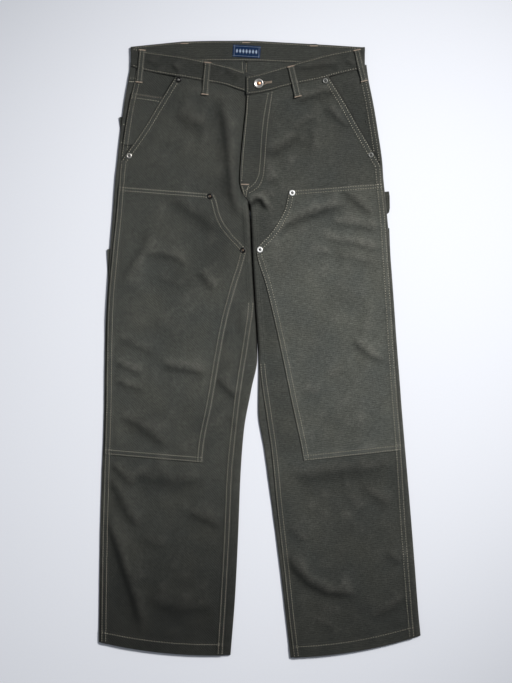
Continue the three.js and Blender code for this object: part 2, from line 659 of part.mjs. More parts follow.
// Highest cloth over a small square round a point
const bodyGrids = [...Object.values(fronts), ...Object.values(patches), ...Object.values(facings), coinTop];
const bandGrids = [bandOutside.slice(0, BAND_FRONT_RIGHT.length), bandOutside.slice(-BAND_FRONT_LEFT.length)];
function surfaceUnder(x, y, reach, grids) {
  let highest = -Infinity;
  for (const stepX of [-1, 0, 1]) {
    for (const stepY of [-1, 0, 1]) {
      for (const grid of grids) {
        highest = Math.max(highest, heightOn(grid, x + stepX * reach, y + stepY * reach));
      }
    }
  }
  return highest;
}

// Belt loops on the front, each from above the band's top edge to below its lower seam
const FRONT_LOOPS = [
  { name: "belt_loop_side_right", topX: -212.6, topY: 538.5, bottomX: -218.6, bottomY: 478 },
  { name: "belt_loop_front_right", topX: -95.3, topY: 516, bottomX: -100.6, bottomY: 456 },
  { name: "belt_loop_front_left", topX: 53.8, topY: 509, bottomX: 67.4, bottomY: 452 },
  { name: "belt_loop_side_left", topX: 172.4, topY: 538.5, bottomX: 186.2, bottomY: 480 },
];
const LOOP_ROWS = 6;
for (const loop of FRONT_LOOPS) {
  const length = Math.hypot(loop.bottomX - loop.topX, loop.bottomY - loop.topY);
  const across = { x: (loop.topY - loop.bottomY) / length, y: (loop.bottomX - loop.topX) / length };
  const rows = [];
  for (let k = 0; k <= LOOP_ROWS; k += 1) {
    const x = mix(loop.topX, loop.bottomX, k / LOOP_ROWS);
    const y = mix(loop.topY, loop.bottomY, k / LOOP_ROWS);
    rows.push({ x, y, z: surfaceUnder(x, y, LOOP_WIDTH / 2, [...bodyGrids, ...bandGrids]) });
  }
  const seat = rows.map((_, k) => Math.max(...rows.slice(Math.max(0, k - 1), k + 2).map((row) => row.z)));
  const under = rows.map((row, k) => [-0.5, 0.5].map((t) => new THREE.Vector3(
    row.x + t * LOOP_WIDTH * across.x,
    row.y + t * LOOP_WIDTH * across.y,
    seat[k] + GAP,
  )));
  add(loop.name, wallBetween(raised(under, LOOP_CLOTH), under), "duck");
}

// Flat pieces under the back: outlines in x and y, lying on the surface
function flatPiece(name, outline) {
  const shape = new THREE.Shape(outline.map(([x, y]) => new THREE.Vector2(x, y)));
  add(name, new THREE.ExtrudeGeometry(shape, { depth: UNDER_CLOTH, bevelEnabled: false }), "duck");
}
const box = (x0, y0, x1, y1) => [[x0, y0], [x1, y0], [x1, y1], [x0, y1]];

const BACK_LOOP_LENGTH = 60;
const BACK_LOOPS = [
  { name: "belt_loop_back_right", x: -137.6, top: 554.6 },
  { name: "belt_loop_back_centre", x: -26.6, top: 556.2 },
  { name: "belt_loop_back_left", x: 95.3, top: 550.4 },
];
for (const { name, x, top } of BACK_LOOPS) {
  flatPiece(name, box(x - LOOP_WIDTH / 2, top - BACK_LOOP_LENGTH, x + LOOP_WIDTH / 2, top));
}

const BACK_POCKET = { width: 150, height: 165, point: 22, taper: 4 };
const BACK_POCKETS = [
  { name: "back_pocket_right", x: -132, top: 436, lean: -0.05 },
  { name: "back_pocket_left", x: 76, top: 436, lean: 0.05 },
];
for (const { name, x, top, lean } of BACK_POCKETS) {
  const half = BACK_POCKET.width / 2;
  const side = BACK_POCKET.height - BACK_POCKET.point;
  const corner = (dx, dy) => [x + dx - lean * dy, top + dy + lean * dx];
  flatPiece(name, [
    corner(-half, 0),
    corner(-half + BACK_POCKET.taper, -side),
    corner(0, -BACK_POCKET.height),
    corner(half - BACK_POCKET.taper, -side),
    corner(half, 0),
  ]);
}
flatPiece("tool_pocket_right", [
  [-254.5, 418], [-224, 420], [-220, 196], [-266.4, 196], [-262.6, 250], [-253, 385],
]);
flatPiece("ruler_pocket_right", [[-276.4, 180], [-190, 184], [-190, 62], [-274.0, 62], [-276.0, 140]]);
flatPiece("utility_pocket_left", [[231.8, 218], [148, 212], [152, 62], [239.6, 68], [238.0, 90], [233.0, 188]]);
flatPiece("hammer_loop_left", [[232.4, 246], [231.6, 284], [126, 276], [127, 238]]);

// Woven label on the inside of the back waistband
const labelZ = LIFT + BAND_CLOTH + GAP;
const labelShape = new THREE.BoxGeometry(LABEL_SIZE.width, LABEL_SIZE.height, LABEL_SIZE.thickness);
const label = add("label", labelShape, "label");
label.position.set(LABEL_SIZE.x, LABEL_SIZE.y, labelZ + LABEL_SIZE.thickness / 2);
label.rotation.z = LABEL_SIZE.tilt;

// Shank button on the lapped end of the band: a dish with a raised rim and a centre stud
const buttonSeat = surfaceUnder(BUTTON.x, BUTTON.y, BUTTON.radius * SEAT_SHARE, bandGrids) + GAP;
const buttonProfile = [
  [0, 0], [0.86, 0], [1, 0.35], [1, 0.8], [0.88, 1], [0.72, 0.85], [0.5, 0.55], [0.42, 0.9], [0, 1],
].map(([r, h]) => new THREE.Vector2(r * BUTTON.radius, h * BUTTON.height));
const button = add("button", new THREE.LatheGeometry(buttonProfile, BUTTON_SIDES), "nickel");
button.rotation.x = Math.PI / 2;
button.position.set(BUTTON.x, BUTTON.y, buttonSeat);

// Rivets at the pocket ends and at the corners of the knee patches
const RIVETS = [
  { name: "rivet_slash_top_right", x: -147.8, y: 484.6, finish: "bronze" },
  { name: "rivet_slash_end_right", x: -236.8, y: 347.6, finish: "nickel" },
  { name: "rivet_patch_top_right", x: -91.6, y: 274.6, finish: "bronze" },
  { name: "rivet_patch_point_right", x: -32.6, y: 177.6, finish: "bronze" },
  { name: "rivet_slash_top_left", x: 116.0, y: 482.3, finish: "nickel" },
  { name: "rivet_slash_end_left", x: 198.0, y: 349.0, finish: "nickel" },
  { name: "rivet_patch_top_left", x: 56.4, y: 279.6, finish: "nickel" },
  { name: "rivet_patch_point_left", x: -1.6, y: 178.6, finish: "nickel" },
];
const rivetProfile = [[0, 0], [1, 0], [1, 0.35], [0.8, 0.75], [0.45, 0.95], [0, 1]].map(
  ([r, h]) => new THREE.Vector2(r * RIVET.radius, h * RIVET.height),
);
for (const { name, x, y, finish } of RIVETS) {
  const rivet = add(name, new THREE.LatheGeometry(rivetProfile, RIVET.sides), finish);
  rivet.rotation.x = Math.PI / 2;
  rivet.position.set(x, y, surfaceUnder(x, y, RIVET.radius * SEAT_SHARE, bodyGrids) + GAP);
}

// The origin is under the middle of the whole garment, on the surface
const bounds = new THREE.Box3().setFromObject(trousers);
const middle = bounds.getCenter(new THREE.Vector3());
trousers.position.set(-middle.x, -middle.y, -bounds.min.z);

export default trousers;
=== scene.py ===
"""Double-knee carpenter trousers, laid flat and front side up.

Sizes are millimetres in the cutter's pattern frame: +x to the wearer's left leg, +y to the waist and z up
from the surface. Everything turns into metres in the shared frame when its mesh is made.
"""

import logging
import math
from dataclasses import dataclass, field
from enum import Enum
from functools import partial
from typing import Callable, NamedTuple, Sequence

import bmesh
import bpy
import numpy as np
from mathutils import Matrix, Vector


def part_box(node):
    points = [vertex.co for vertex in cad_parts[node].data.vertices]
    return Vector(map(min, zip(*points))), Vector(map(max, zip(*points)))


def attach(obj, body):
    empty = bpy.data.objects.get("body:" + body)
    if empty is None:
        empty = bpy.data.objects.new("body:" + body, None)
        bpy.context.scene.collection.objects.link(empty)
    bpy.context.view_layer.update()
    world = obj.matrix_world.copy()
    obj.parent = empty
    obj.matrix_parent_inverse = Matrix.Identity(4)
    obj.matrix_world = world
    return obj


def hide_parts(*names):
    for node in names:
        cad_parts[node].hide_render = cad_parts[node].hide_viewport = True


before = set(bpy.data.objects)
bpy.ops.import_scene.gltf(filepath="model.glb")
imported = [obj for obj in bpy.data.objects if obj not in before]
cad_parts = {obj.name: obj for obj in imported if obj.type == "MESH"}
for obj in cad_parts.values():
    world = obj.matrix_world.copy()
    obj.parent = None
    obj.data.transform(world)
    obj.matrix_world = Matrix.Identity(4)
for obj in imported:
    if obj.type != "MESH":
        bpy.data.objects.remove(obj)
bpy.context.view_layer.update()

LOG = logging.getLogger("trousers")
Height = Callable[[np.ndarray, np.ndarray], np.ndarray]
Line = Callable[[np.ndarray], np.ndarray]

# Cloth and the levels of its layers over the surface
CLOTH = 1.2
PATCH_CLOTH = 1.1
LIFT = 1.3
LIFT_START = 15.0
LIFT_FULL = 58.0
FOLD_HEIGHT = 4.6
FOLD_REACH = 3.0
STRIP_STEP = 1.35
PANEL_LEVEL = 7.0
PUFF_REACH = 45.0
WAIST_LEVEL = 4.5
FLY_UNDER = 3.1
FLY_OVER = 5.9
FLY_END = 4.2
SLASH_LEVEL = 5.7
FACING_LEVEL = 3.1
SPLIT_DROP = 2.0
SPLIT_ENDS = {"right": (60, 110), "left": (-50, 10)}
CROTCH_Y = 262.0
SEAM_UNDERLAP = 8.0
# Brightness below which a face in a narrow gap takes the shaded copy of the cloth's finish, as painted shade
GAP_SHADE_LIMIT = 0.36
GAPS_FROM = -40.0
FOLD_SPREAD = 1.4
FOLD_STEEP = 1.3
FOLD_SHADE = 0.66
CELL = 3.0
MEET_TURNS = 14
UNDER_CLOTH = 0.8
UNDER_CLEAR = 0.15

# Where the soft key light comes from, in plan: fold walls that face away from it read dark
LIGHT_SIDE = (0.72, 0.69)


class Thread(Enum):
    """Sewing threads by their colour."""

    TAN = "stitching_tan"
    TACK = "stitching_tacks"
    NAVY = "stitching_label"
    # near-black discs between the stitches, not a thread: painted shade of the needle holes
    HOLE_SHADE = "needle_hole_shade"


class EdgeRow(NamedTuple):
    """Edge lines of one leg at height y: side fold, outseam, inseam and inner fold."""

    y: float
    outer: float
    outseam: float
    inseam: float
    inner: float


class BandRow(NamedTuple):
    """Top and bottom edge of the waistband at x, and how far it is raised there."""

    x: float
    top: float
    bottom: float
    rise: float = 0.0


RIGHT_EDGES = [EdgeRow(*row) for row in (
    (546, -233.6, -221.0, -14.5, -14.5), (507, -235.4, -224.2, -15.0, -15.0),
    (484, -238.9, -227.1, -15.5, -15.5), (441, -246.2, -236.8, -17.0, -17.0),
    (391, -252.9, -245.2, -22.0, -22.0), (338, -258.5, -251.7, -26.8, -26.8),
    (302, -262.3, -254.6, -28.4, -28.4), (274, -264.5, -256.9, -25.2, -25.2),
    (247, -266.4, -259.2, -20.1, -19.5), (169, -272.2, -267.0, -16.3, -15.7),
    (88, -277.5, -273.9, -12.4, -11.0), (22, -280.4, -276.4, -19.9, -6.8),
    (-14, -280.9, -277.0, -25.5, -6.0), (-74, -281.8, -277.8, -34.8, -17.2),
    (-146, -283.2, -279.5, -43.4, -30.2), (-227, -286.4, -282.2, -51.0, -36.4),
    (-335, -289.4, -285.4, -55.6, -40.7), (-443, -290.9, -287.0, -61.5, -46.0),
    (-556, -292.1, -288.1, -68.3, -54.8),
)]
LEFT_EDGES = [EdgeRow(*row) for row in (
    (546, 186.9, 182.5, -25.7, -25.7), (507, 191.1, 187.0, -25.3, -25.3),
    (484, 194.4, 190.4, -24.8, -24.8), (441, 203.0, 199.0, -25.8, -25.8),
    (391, 211.3, 207.3, -30.9, -30.9), (338, 218.8, 214.9, -35.8, -35.8),
    (302, 221.4, 217.6, -37.5, -37.5), (286, 223.1, 219.3, -34.0, -34.0),
    (262, 225.6, 221.8, -20.8, -20.8), (247, 227.1, 223.3, -18.4, -19.1),
    (169, 233.6, 228.5, -14.8, -15.5), (88, 239.6, 234.0, -10.0, -10.8), (22, 244.3, 238.1, -5.6, -6.6),
    (-41, 249.2, 242.2, -0.6, -3.7), (-110, 254.3, 247.5, 8.7, -4.4), (-182, 260.4, 253.2, 19.2, 6.7),
    (-281, 268.9, 259.2, 28.8, 20.0), (-389, 277.5, 266.7, 40.8, 34.3), (-484, 284.9, 274.2, 50.5, 45.3),
    (-556, 292.3, 280.4, 59.1, 53.4),
)]

# Free edge of each knee patch as (y, x), and each slash pocket's edge as (y, x)
RIGHT_PATCH = (
    (492, -98.5), (358, -91.4), (282, -86.0), (270, -79.8), (247, -74.2), (227, -65.8), (208, -52.0),
    (192, -36.8), (177, -26.0), (164, -28.5), (104, -46.4), (40, -62.9), (-92, -86.0), (-195, -104.0),
    (-556, -114.0),
)
LEFT_PATCH = (
    (492, 58.1), (358, 52.6), (287, 50.9), (274, 48.5), (256, 44.7), (232, 33.8), (210, 19.2), (186, -3.1),
    (178, -8.0), (169, -6.9), (116, 9.1), (8, 34.3), (-92, 55.0), (-198, 77.1), (-556, 124.7),
)
RIGHT_SLASH = ((496, -149.5), (443, -182.2), (396, -210.7), (356, -238.6), (338, -251.7))
LEFT_SLASH = ((492, 120.4), (443, 150.8), (401, 174.2), (364, 196.0), (330, 215.5))

BAND_FRONT_RIGHT = [BandRow(*row) for row in (
    (-231.4, 543.5, 508.0), (-219.2, 539.5, 504.0), (-204.8, 536.0, 500.2), (-180.0, 532.4, 495.4),
    (-149.0, 528.1, 490.3), (-104.0, 519.5, 482.4), (-60.8, 509.8, 474.1), (-37.4, 501.7, 466.2),
    (-12.2, 494.0, 459.5),
)]
BAND_FRONT_LEFT = [BandRow(*row) for row in (
    (184.7, 543.5, 503.8), (166.1, 539.6, 500.8), (131.8, 533.2, 492.5), (110.2, 527.8, 486.4),
    (67.0, 516.1, 477.4), (45.5, 510.1, 472.7, 0.3), (20.0, 501.8, 465.3, 1.7), (-6.0, 494.4, 459.7, 2.7),
    (-26.6, 490.3, 457.6, 2.7),
)]
BAND_BACK = [BandRow(*row) for row in (
    (-231.4, 545.2, 508.0), (-190.3, 549.4, 512.3), (-132.8, 554.4, 516.1), (-77.0, 555.7, 518.0),
    (-30.2, 555.7, 517.9), (49.1, 552.2, 515.2), (124.7, 547.9, 510.1), (184.7, 544.0, 503.8),
)]


class Fold(NamedTuple):
    """One crease: the path of its dark wall, the wall's half width and how steep it is."""

    path: tuple[tuple[float, float], ...]
    width: float
    slope: float


RIGHT_FOLDS = (
    Fold(((-74, 462), (-66, 392), (-60, 330), (-56, 282), (-42, 240), (-38, 216)), 9, 0.50),
    Fold(((-44, 360), (-38, 320), (-30, 294)), 6, 0.24),
    Fold(((-160, 424), (-132, 408), (-96, 396)), 12, 0.24),
    Fold(((-176, 272), (-146, 258), (-112, 236), (-76, 206)), 12, 0.27),
    Fold(((-34, 256), (-29, 220), (-28, 176)), 6, 0.16),
    Fold(((-256, 108), (-236, 146), (-212, 184), (-192, 214)), 9, 0.24),
    Fold(((-214, 166), (-182, 168), (-154, 162), (-128, 148)), 7.5, 0.27),
    Fold(((-190, 128), (-160, 118), (-134, 112)), 8, 0.12),
    Fold(((-114, 142), (-100, 124), (-84, 104)), 6, 0.34),
    Fold(((-264, 22), (-226, 6), (-186, -14)), 8, 0.18),
    Fold(((-188, -28), (-150, -36), (-92, -47)), 7, 0.34),
    Fold(((-84, -50), (-64, -70), (-42, -92)), 7, 0.34),
    Fold(((-268, -22), (-240, -36), (-208, -48)), 7, 0.26),
    Fold(((-268, -56), (-240, -68), (-206, -76)), 8, 0.26),
    Fold(((-262, -118), (-220, -138), (-190, -160), (-166, -184)), 9, 0.34),
    Fold(((-272, -204), (-254, -224), (-226, -250)), 7, 0.34),
    Fold(((-244, -228), (-200, -236), (-150, -240), (-94, -238)), 14, 0.26),
    Fold(((-136, -290), (-106, -306), (-70, -324)), 8, 0.30),
    Fold(((-284, -286), (-266, -344), (-248, -396), (-230, -452), (-212, -524)), 9, 0.52),
    Fold(((-276, -228), (-258, -262), (-240, -300), (-214, -330)), 9, 0.34),
    Fold(((-222, -340), (-196, -352), (-166, -362)), 12, 0.14),
    Fold(((-214, -448), (-180, -464), (-140, -472), (-76, -464)), 14, 0.26),
    Fold(((-38, 90), (-37, 60), (-38, 10)), 6, 0.16),
    Fold(((-62, -118), (-50, -134), (-40, -152)), 5, 0.22),
    Fold(((-196, 66), (-160, 20), (-130, 10)), 20, 0.08),
    Fold(((-150, -90), (-120, -110), (-100, -160)), 20, 0.08),
)
LEFT_FOLDS = (
    Fold(((6, 346), (32, 357), (49, 369), (68, 392)), 8, 0.46),
    Fold(((56, 388), (77, 406), (102, 416)), 6, 0.24),
    Fold(((112, 442), (132, 418), (146, 404), (164, 396)), 5.5, 0.34),
    Fold(((56, 440), (86, 452), (110, 459), (142, 460)), 6, 0.44),
    Fold(((88, 404), (91, 380), (93, 350)), 6, 0.14),
    Fold(((10, 298), (20, 303), (32, 308)), 5, 0.24),
    Fold(((16, 190), (48, 222), (84, 238), (118, 250), (160, 262)), 8, 0.50),
    Fold(((138, 290), (164, 270), (188, 250), (214, 240)), 6.5, 0.31),
    Fold(((112, 226), (160, 222), (222, 212)), 7, 0.26),
    Fold(((96, 200), (160, 190), (226, 176)), 8, 0.24),
    Fold(((80, 176), (140, 168), (222, 148)), 9, 0.18),
    Fold(((158, 20), (176, 4), (198, -14), (226, -24)), 6.5, 0.30),
    Fold(((118, -54), (136, -46), (156, -36)), 8, 0.12),
    Fold(((70, -74), (88, -80), (110, -84)), 8, 0.14),
    Fold(((36, -226), (86, -232), (150, -226), (204, -216), (250, -204)), 15, 0.26),
    Fold(((176, -246), (206, -266), (236, -288)), 8, 0.20),
    Fold(((48, -318), (64, -336), (84, -352)), 9, 0.12),
    Fold(((42, -356), (60, -396), (84, -422), (118, -440), (186, -444)), 8.5, 0.50),
    Fold(((266, -444), (230, -470), (194, -488)), 7, 0.28),
    Fold(((224, -364), (236, -376), (252, -390)), 8, 0.16),
    Fold(((94, -488), (112, -497), (134, -503)), 7, 0.14),
    Fold(((-21, 249), (-16.5, 261), (-7.6, 269), (0, 267.5), (6, 258), (15, 247)), 3.2, 1.0),
    Fold(((-14, 262), (-2, 262), (6, 252)), 4, 0.20),
    Fold(((120, 120), (160, 90), (200, 84)), 20, 0.08),
    Fold(((110, -110), (150, -140), (200, -150)), 20, 0.08),
)


def ease(value: np.ndarray) -> np.ndarray:
    """Smooth rise from 0 to 1, held outside that range."""
    inside = np.clip(value, 0.0, 1.0)
    return inside * inside * (3 - 2 * inside)


def mix(a: np.ndarray, b: np.ndarray, t: np.ndarray) -> np.ndarray:
    """Straight blend from a to b."""
    return a + (b - a) * t


def curve(points: Sequence[tuple[float, float]]) -> Line:
    """Smooth curve through measured points, held at both ends.

    Args:
        points: (input, output) pairs in any order.

    Returns:
        The curve as a function of arrays.
    """
    rows = np.array(sorted(points), dtype=float)
    at, values = rows[:, 0], rows[:, 1]
    steps = np.diff(values) / np.diff(at)
    slopes = np.zeros(len(at))
    slopes[0], slopes[-1] = steps[0], steps[-1]
    before, after = steps[:-1], steps[1:]
    level = before * after <= 0
    slopes[1:-1] = np.where(level, 0, 2 * before * after / np.where(level, 1, before + after))

    def evaluate(x: np.ndarray) -> np.ndarray:
        """Value of the curve at x."""
        inside = np.clip(x, at[0], at[-1])
        i = np.clip(np.searchsorted(at, inside) - 1, 0, len(at) - 2)
        span = at[i + 1] - at[i]
        t = (inside - at[i]) / span
        leave = t * (1 - t) ** 2 * span * slopes[i]
        arrive = t * t * (t - 1) * span * slopes[i + 1]
        return mix(values[i], values[i + 1], t * t * (3 - 2 * t)) + leave + arrive

    return evaluate


def bowed(x0: float, y0: float, x1: float, y1: float, bow: float = 0.0) -> Line:
    """Line between two points, sagging by bow at its middle.

    Args:
        x0: x of one end.
        y0: y of it.
        x1: x of the other end.
        y1: y of it.
        bow: how far the middle sags.

    Returns:
        The line as a function of x.
    """
    def evaluate(x: np.ndarray) -> np.ndarray:
        """Height of the line at x."""
        share = (x - x0) / (x1 - x0)
        held = np.clip(share, 0, 1)
        return mix(y0, y1, share) - 4 * bow * held * (1 - held)

    return evaluate


def raised(line: Line, step: float) -> Line:
    """Line moved up by a step.

    Args:
        line: the line.
        step: how far it moves.

    Returns:
        The moved line.
    """
    def evaluate(x: np.ndarray) -> np.ndarray:
        """Height of the moved line at x."""
        return line(x) + step

    return evaluate


def level_at(height: float) -> Height:
    """Same height everywhere.

    Args:
        height: the height.

    Returns:
        The height as a function of x and y.
    """
    def evaluate(x: np.ndarray, y: np.ndarray) -> np.ndarray:
        """The one height, at every place."""
        return height + 0 * x

    return evaluate


def at(edge: Line, place: float) -> float:
    """Value of a curve at one place."""
    return float(edge(np.array(place)))


def path_of(x: np.ndarray, y: np.ndarray) -> np.ndarray:
    """Path as rows of x and y."""
    return np.stack([x, y], axis=1)


def steepness(edge: Line, y: np.ndarray) -> np.ndarray:
    """Share of a level distance from a steep edge that is square to it.

    Args:
        edge: the edge, as x for a y.
        y: where along it.

    Returns:
        The share, 1 where the edge is upright.
    """
    step = 2.0
    slope = (edge(y + step) - edge(y - step)) / (2 * step)
    return 1 / np.hypot(1, slope)


class Ripple:
    """Smooth seeded unevenness of cloth, from -1 to 1."""

    SIZE = 96

    def __init__(self, seed: int, cell_x: float, cell_y: float | None = None) -> None:
        """Draws the values of one ripple.

        Args:
            seed: number that fixes the pattern.
            cell_x: spacing of its bumps along x.
            cell_y: spacing along y, as along x where it isn't given.
        """
        self.values = np.random.default_rng(seed).uniform(-1, 1, (self.SIZE, self.SIZE))
        self.cell = (cell_x, cell_y or cell_x)

    def __call__(self, x: np.ndarray, y: np.ndarray) -> np.ndarray:
        """Height of the ripple at a point.

        Args:
            x: x of the points.
            y: y of the points.

        Returns:
            The heights.
        """
        u = np.asarray(x, dtype=float) / self.cell[0] + 512.5
        v = np.asarray(y, dtype=float) / self.cell[1] + 512.5
        i = np.floor(u).astype(int)
        j = np.floor(v).astype(int)
        fu, fv = ease(u - i), ease(v - j)

        def corner(di: int, dj: int) -> np.ndarray:
            """Value at one corner of the cell."""
            return self.values[(i + di) % self.SIZE, (j + dj) % self.SIZE]

        low = mix(corner(0, 0), corner(1, 0), fu)
        high = mix(corner(0, 1), corner(1, 1), fu)
        return mix(low, high, fv)


FLY_LINE = curve([(row.y, row.inseam) for row in LEFT_EDGES if row.y > 280])
FLY_CURVE_INNER = (
    (14.4, 465), (7, 428), (1.7, 385.9), (-0.8, 334.3), (-3.5, 310.1), (-12.9, 294.7), (-30, 284.5),
)
FLY_CURVE = curve([(y, x) for x, y in reversed(FLY_CURVE_INNER)])
SWELL = Ripple(11, 62)
WAVE = Ripple(12, 27)
CRINKLE = Ripple(13, 10)
ALONG_SEAM = Ripple(14, 26, 5.2)
ACROSS_SEAM = Ripple(15, 5.2, 26)
FOLD_SWELL = Ripple(16, 70)


def crease_fields(folds: Sequence[Fold], x: np.ndarray, y: np.ndarray) -> tuple[np.ndarray, np.ndarray]:
    """Relief and painted shade of a list of creases: each has one dark wall and a long gentle slope on both
    sides.

    Args:
        folds: the creases.
        x: place across.
        y: place along the leg.

    Returns:
        Height in millimetres, below zero in the troughs, and the painted shade: how much darker each trough
        is painted, less than zero where the raised side that faces the light gets a painted highlight.
    """
    relief = np.zeros(np.shape(x))
    shade = np.zeros(np.shape(x))
    for fold in folds:
        path = np.array(fold.path, dtype=float)
        runs = np.diff(path, axis=0)
        lengths = np.hypot(runs[:, 0], runs[:, 1])
        chord = path[-1] - path[0]
        facing = 1 if chord[0] * LIGHT_SIDE[1] - chord[1] * LIGHT_SIDE[0] >= 0 else -1
        nearest = np.full(relief.shape, np.inf)
        signed = np.zeros(relief.shape)
        share = np.zeros(relief.shape)
        walked = 0.0
        for start, run, length in zip(path, runs, lengths):
            normal = facing * np.array([-run[1], run[0]]) / length
            t = np.clip(((x - start[0]) * run[0] + (y - start[1]) * run[1]) / length ** 2, 0, 1)
            dx, dy = x - start[0] - t * run[0], y - start[1] - t * run[1]
            distance = np.hypot(dx, dy)
            closer = distance < nearest
            nearest = np.where(closer, distance, nearest)
            side = np.where(dx * normal[0] + dy * normal[1] >= 0, 1, -1)
            signed = np.where(closer, distance * side, signed)
            share = np.where(closer, (walked + t * length) / lengths.sum(), share)
            walked += length
        taper = ease(share / 0.26) * ease((1 - share) / 0.26)
        width = FOLD_SPREAD * fold.width * (1 + 0.3 * WAVE(x * 1.3, y * 1.3))
        at = signed / width
        relief += FOLD_STEEP * fold.slope * width * taper * at / (1 + at ** 2) * np.exp(-((at / 5) ** 2))
        # painted highlight on the raised side that faces the light, against the painted shade in the trough
        crest_highlight = 0.40 * np.exp(-(((at - 1.7) / 0.9) ** 2))
        shade += FOLD_SHADE * fold.slope * taper * (np.exp(-(((at + 0.15) / 0.8) ** 2)) - crest_highlight)
    return relief, shade


@dataclass(frozen=True)
class TurnedEdge:
    """Folded and topstitched edge: its allowance, how much thicker it is, its roundness and stitch lines."""

    allowance: float = 10.4
    rise: float = 0.7
    roll: float = 0.8
    grooves: tuple[float, ...] = (1.9, 9.3)
    groove_depth: float = 0.42
    groove_width: float = 0.8

    def relief(self, inside: np.ndarray) -> np.ndarray:
        """Height that the edge adds, by the distance inside it.

        Args:
            inside: distance from the edge, inwards.

        Returns:
            The height added there.
        """
        added = self.rise * (1 - ease((inside - self.allowance) / 2.4))
        corner = np.clip(self.roll - inside, 0, self.roll)
        added -= self.roll - np.sqrt(self.roll ** 2 - corner ** 2)
        for groove in self.grooves:
            added -= self.groove_depth * np.exp(-(((inside - groove) / self.groove_width) ** 2))
        return added

    def puckers(self, ripple: np.ndarray, inside: np.ndarray) -> np.ndarray:
        """Small gathers that the stitches pull up, from a ripple that runs along the edge."""
        centre = sum(self.grooves) / len(self.grooves)
        return 0.3 * ripple * np.exp(-(((inside - centre) / 8.5) ** 2)) * ease(inside / 3)


SEAM = TurnedEdge()
HEM = TurnedEdge(allowance=21.2, rise=0.9, roll=1.2, grooves=(19.6,))
SINGLE = TurnedEdge(allowance=30, rise=0.4, grooves=(2.6,))
BAND_EDGE = TurnedEdge(allowance=7, rise=0.35, roll=1.0, grooves=(3.0,), groove_depth=0.3)
LOOP_EDGE = TurnedEdge(allowance=9, rise=0.0, roll=0.7, grooves=(2.3,), groove_depth=0.22, groove_width=0.7)


def lift_at(y: np.ndarray) -> np.ndarray:
    """How far the pockets under the back raise everything at height y."""
    return LIFT * ease((y - LIFT_START) / (LIFT_FULL - LIFT_START))


def under_face(x: np.ndarray, y: np.ndarray) -> np.ndarray:
    """Where the stitches on the underside of the back lie."""
    return lift_at(y) + 0.08


def inside_face(x: np.ndarray, y: np.ndarray) -> np.ndarray:
    """Inner face of the back, seen inside the waist."""
    return lift_at(y) + CLOTH + 0.02


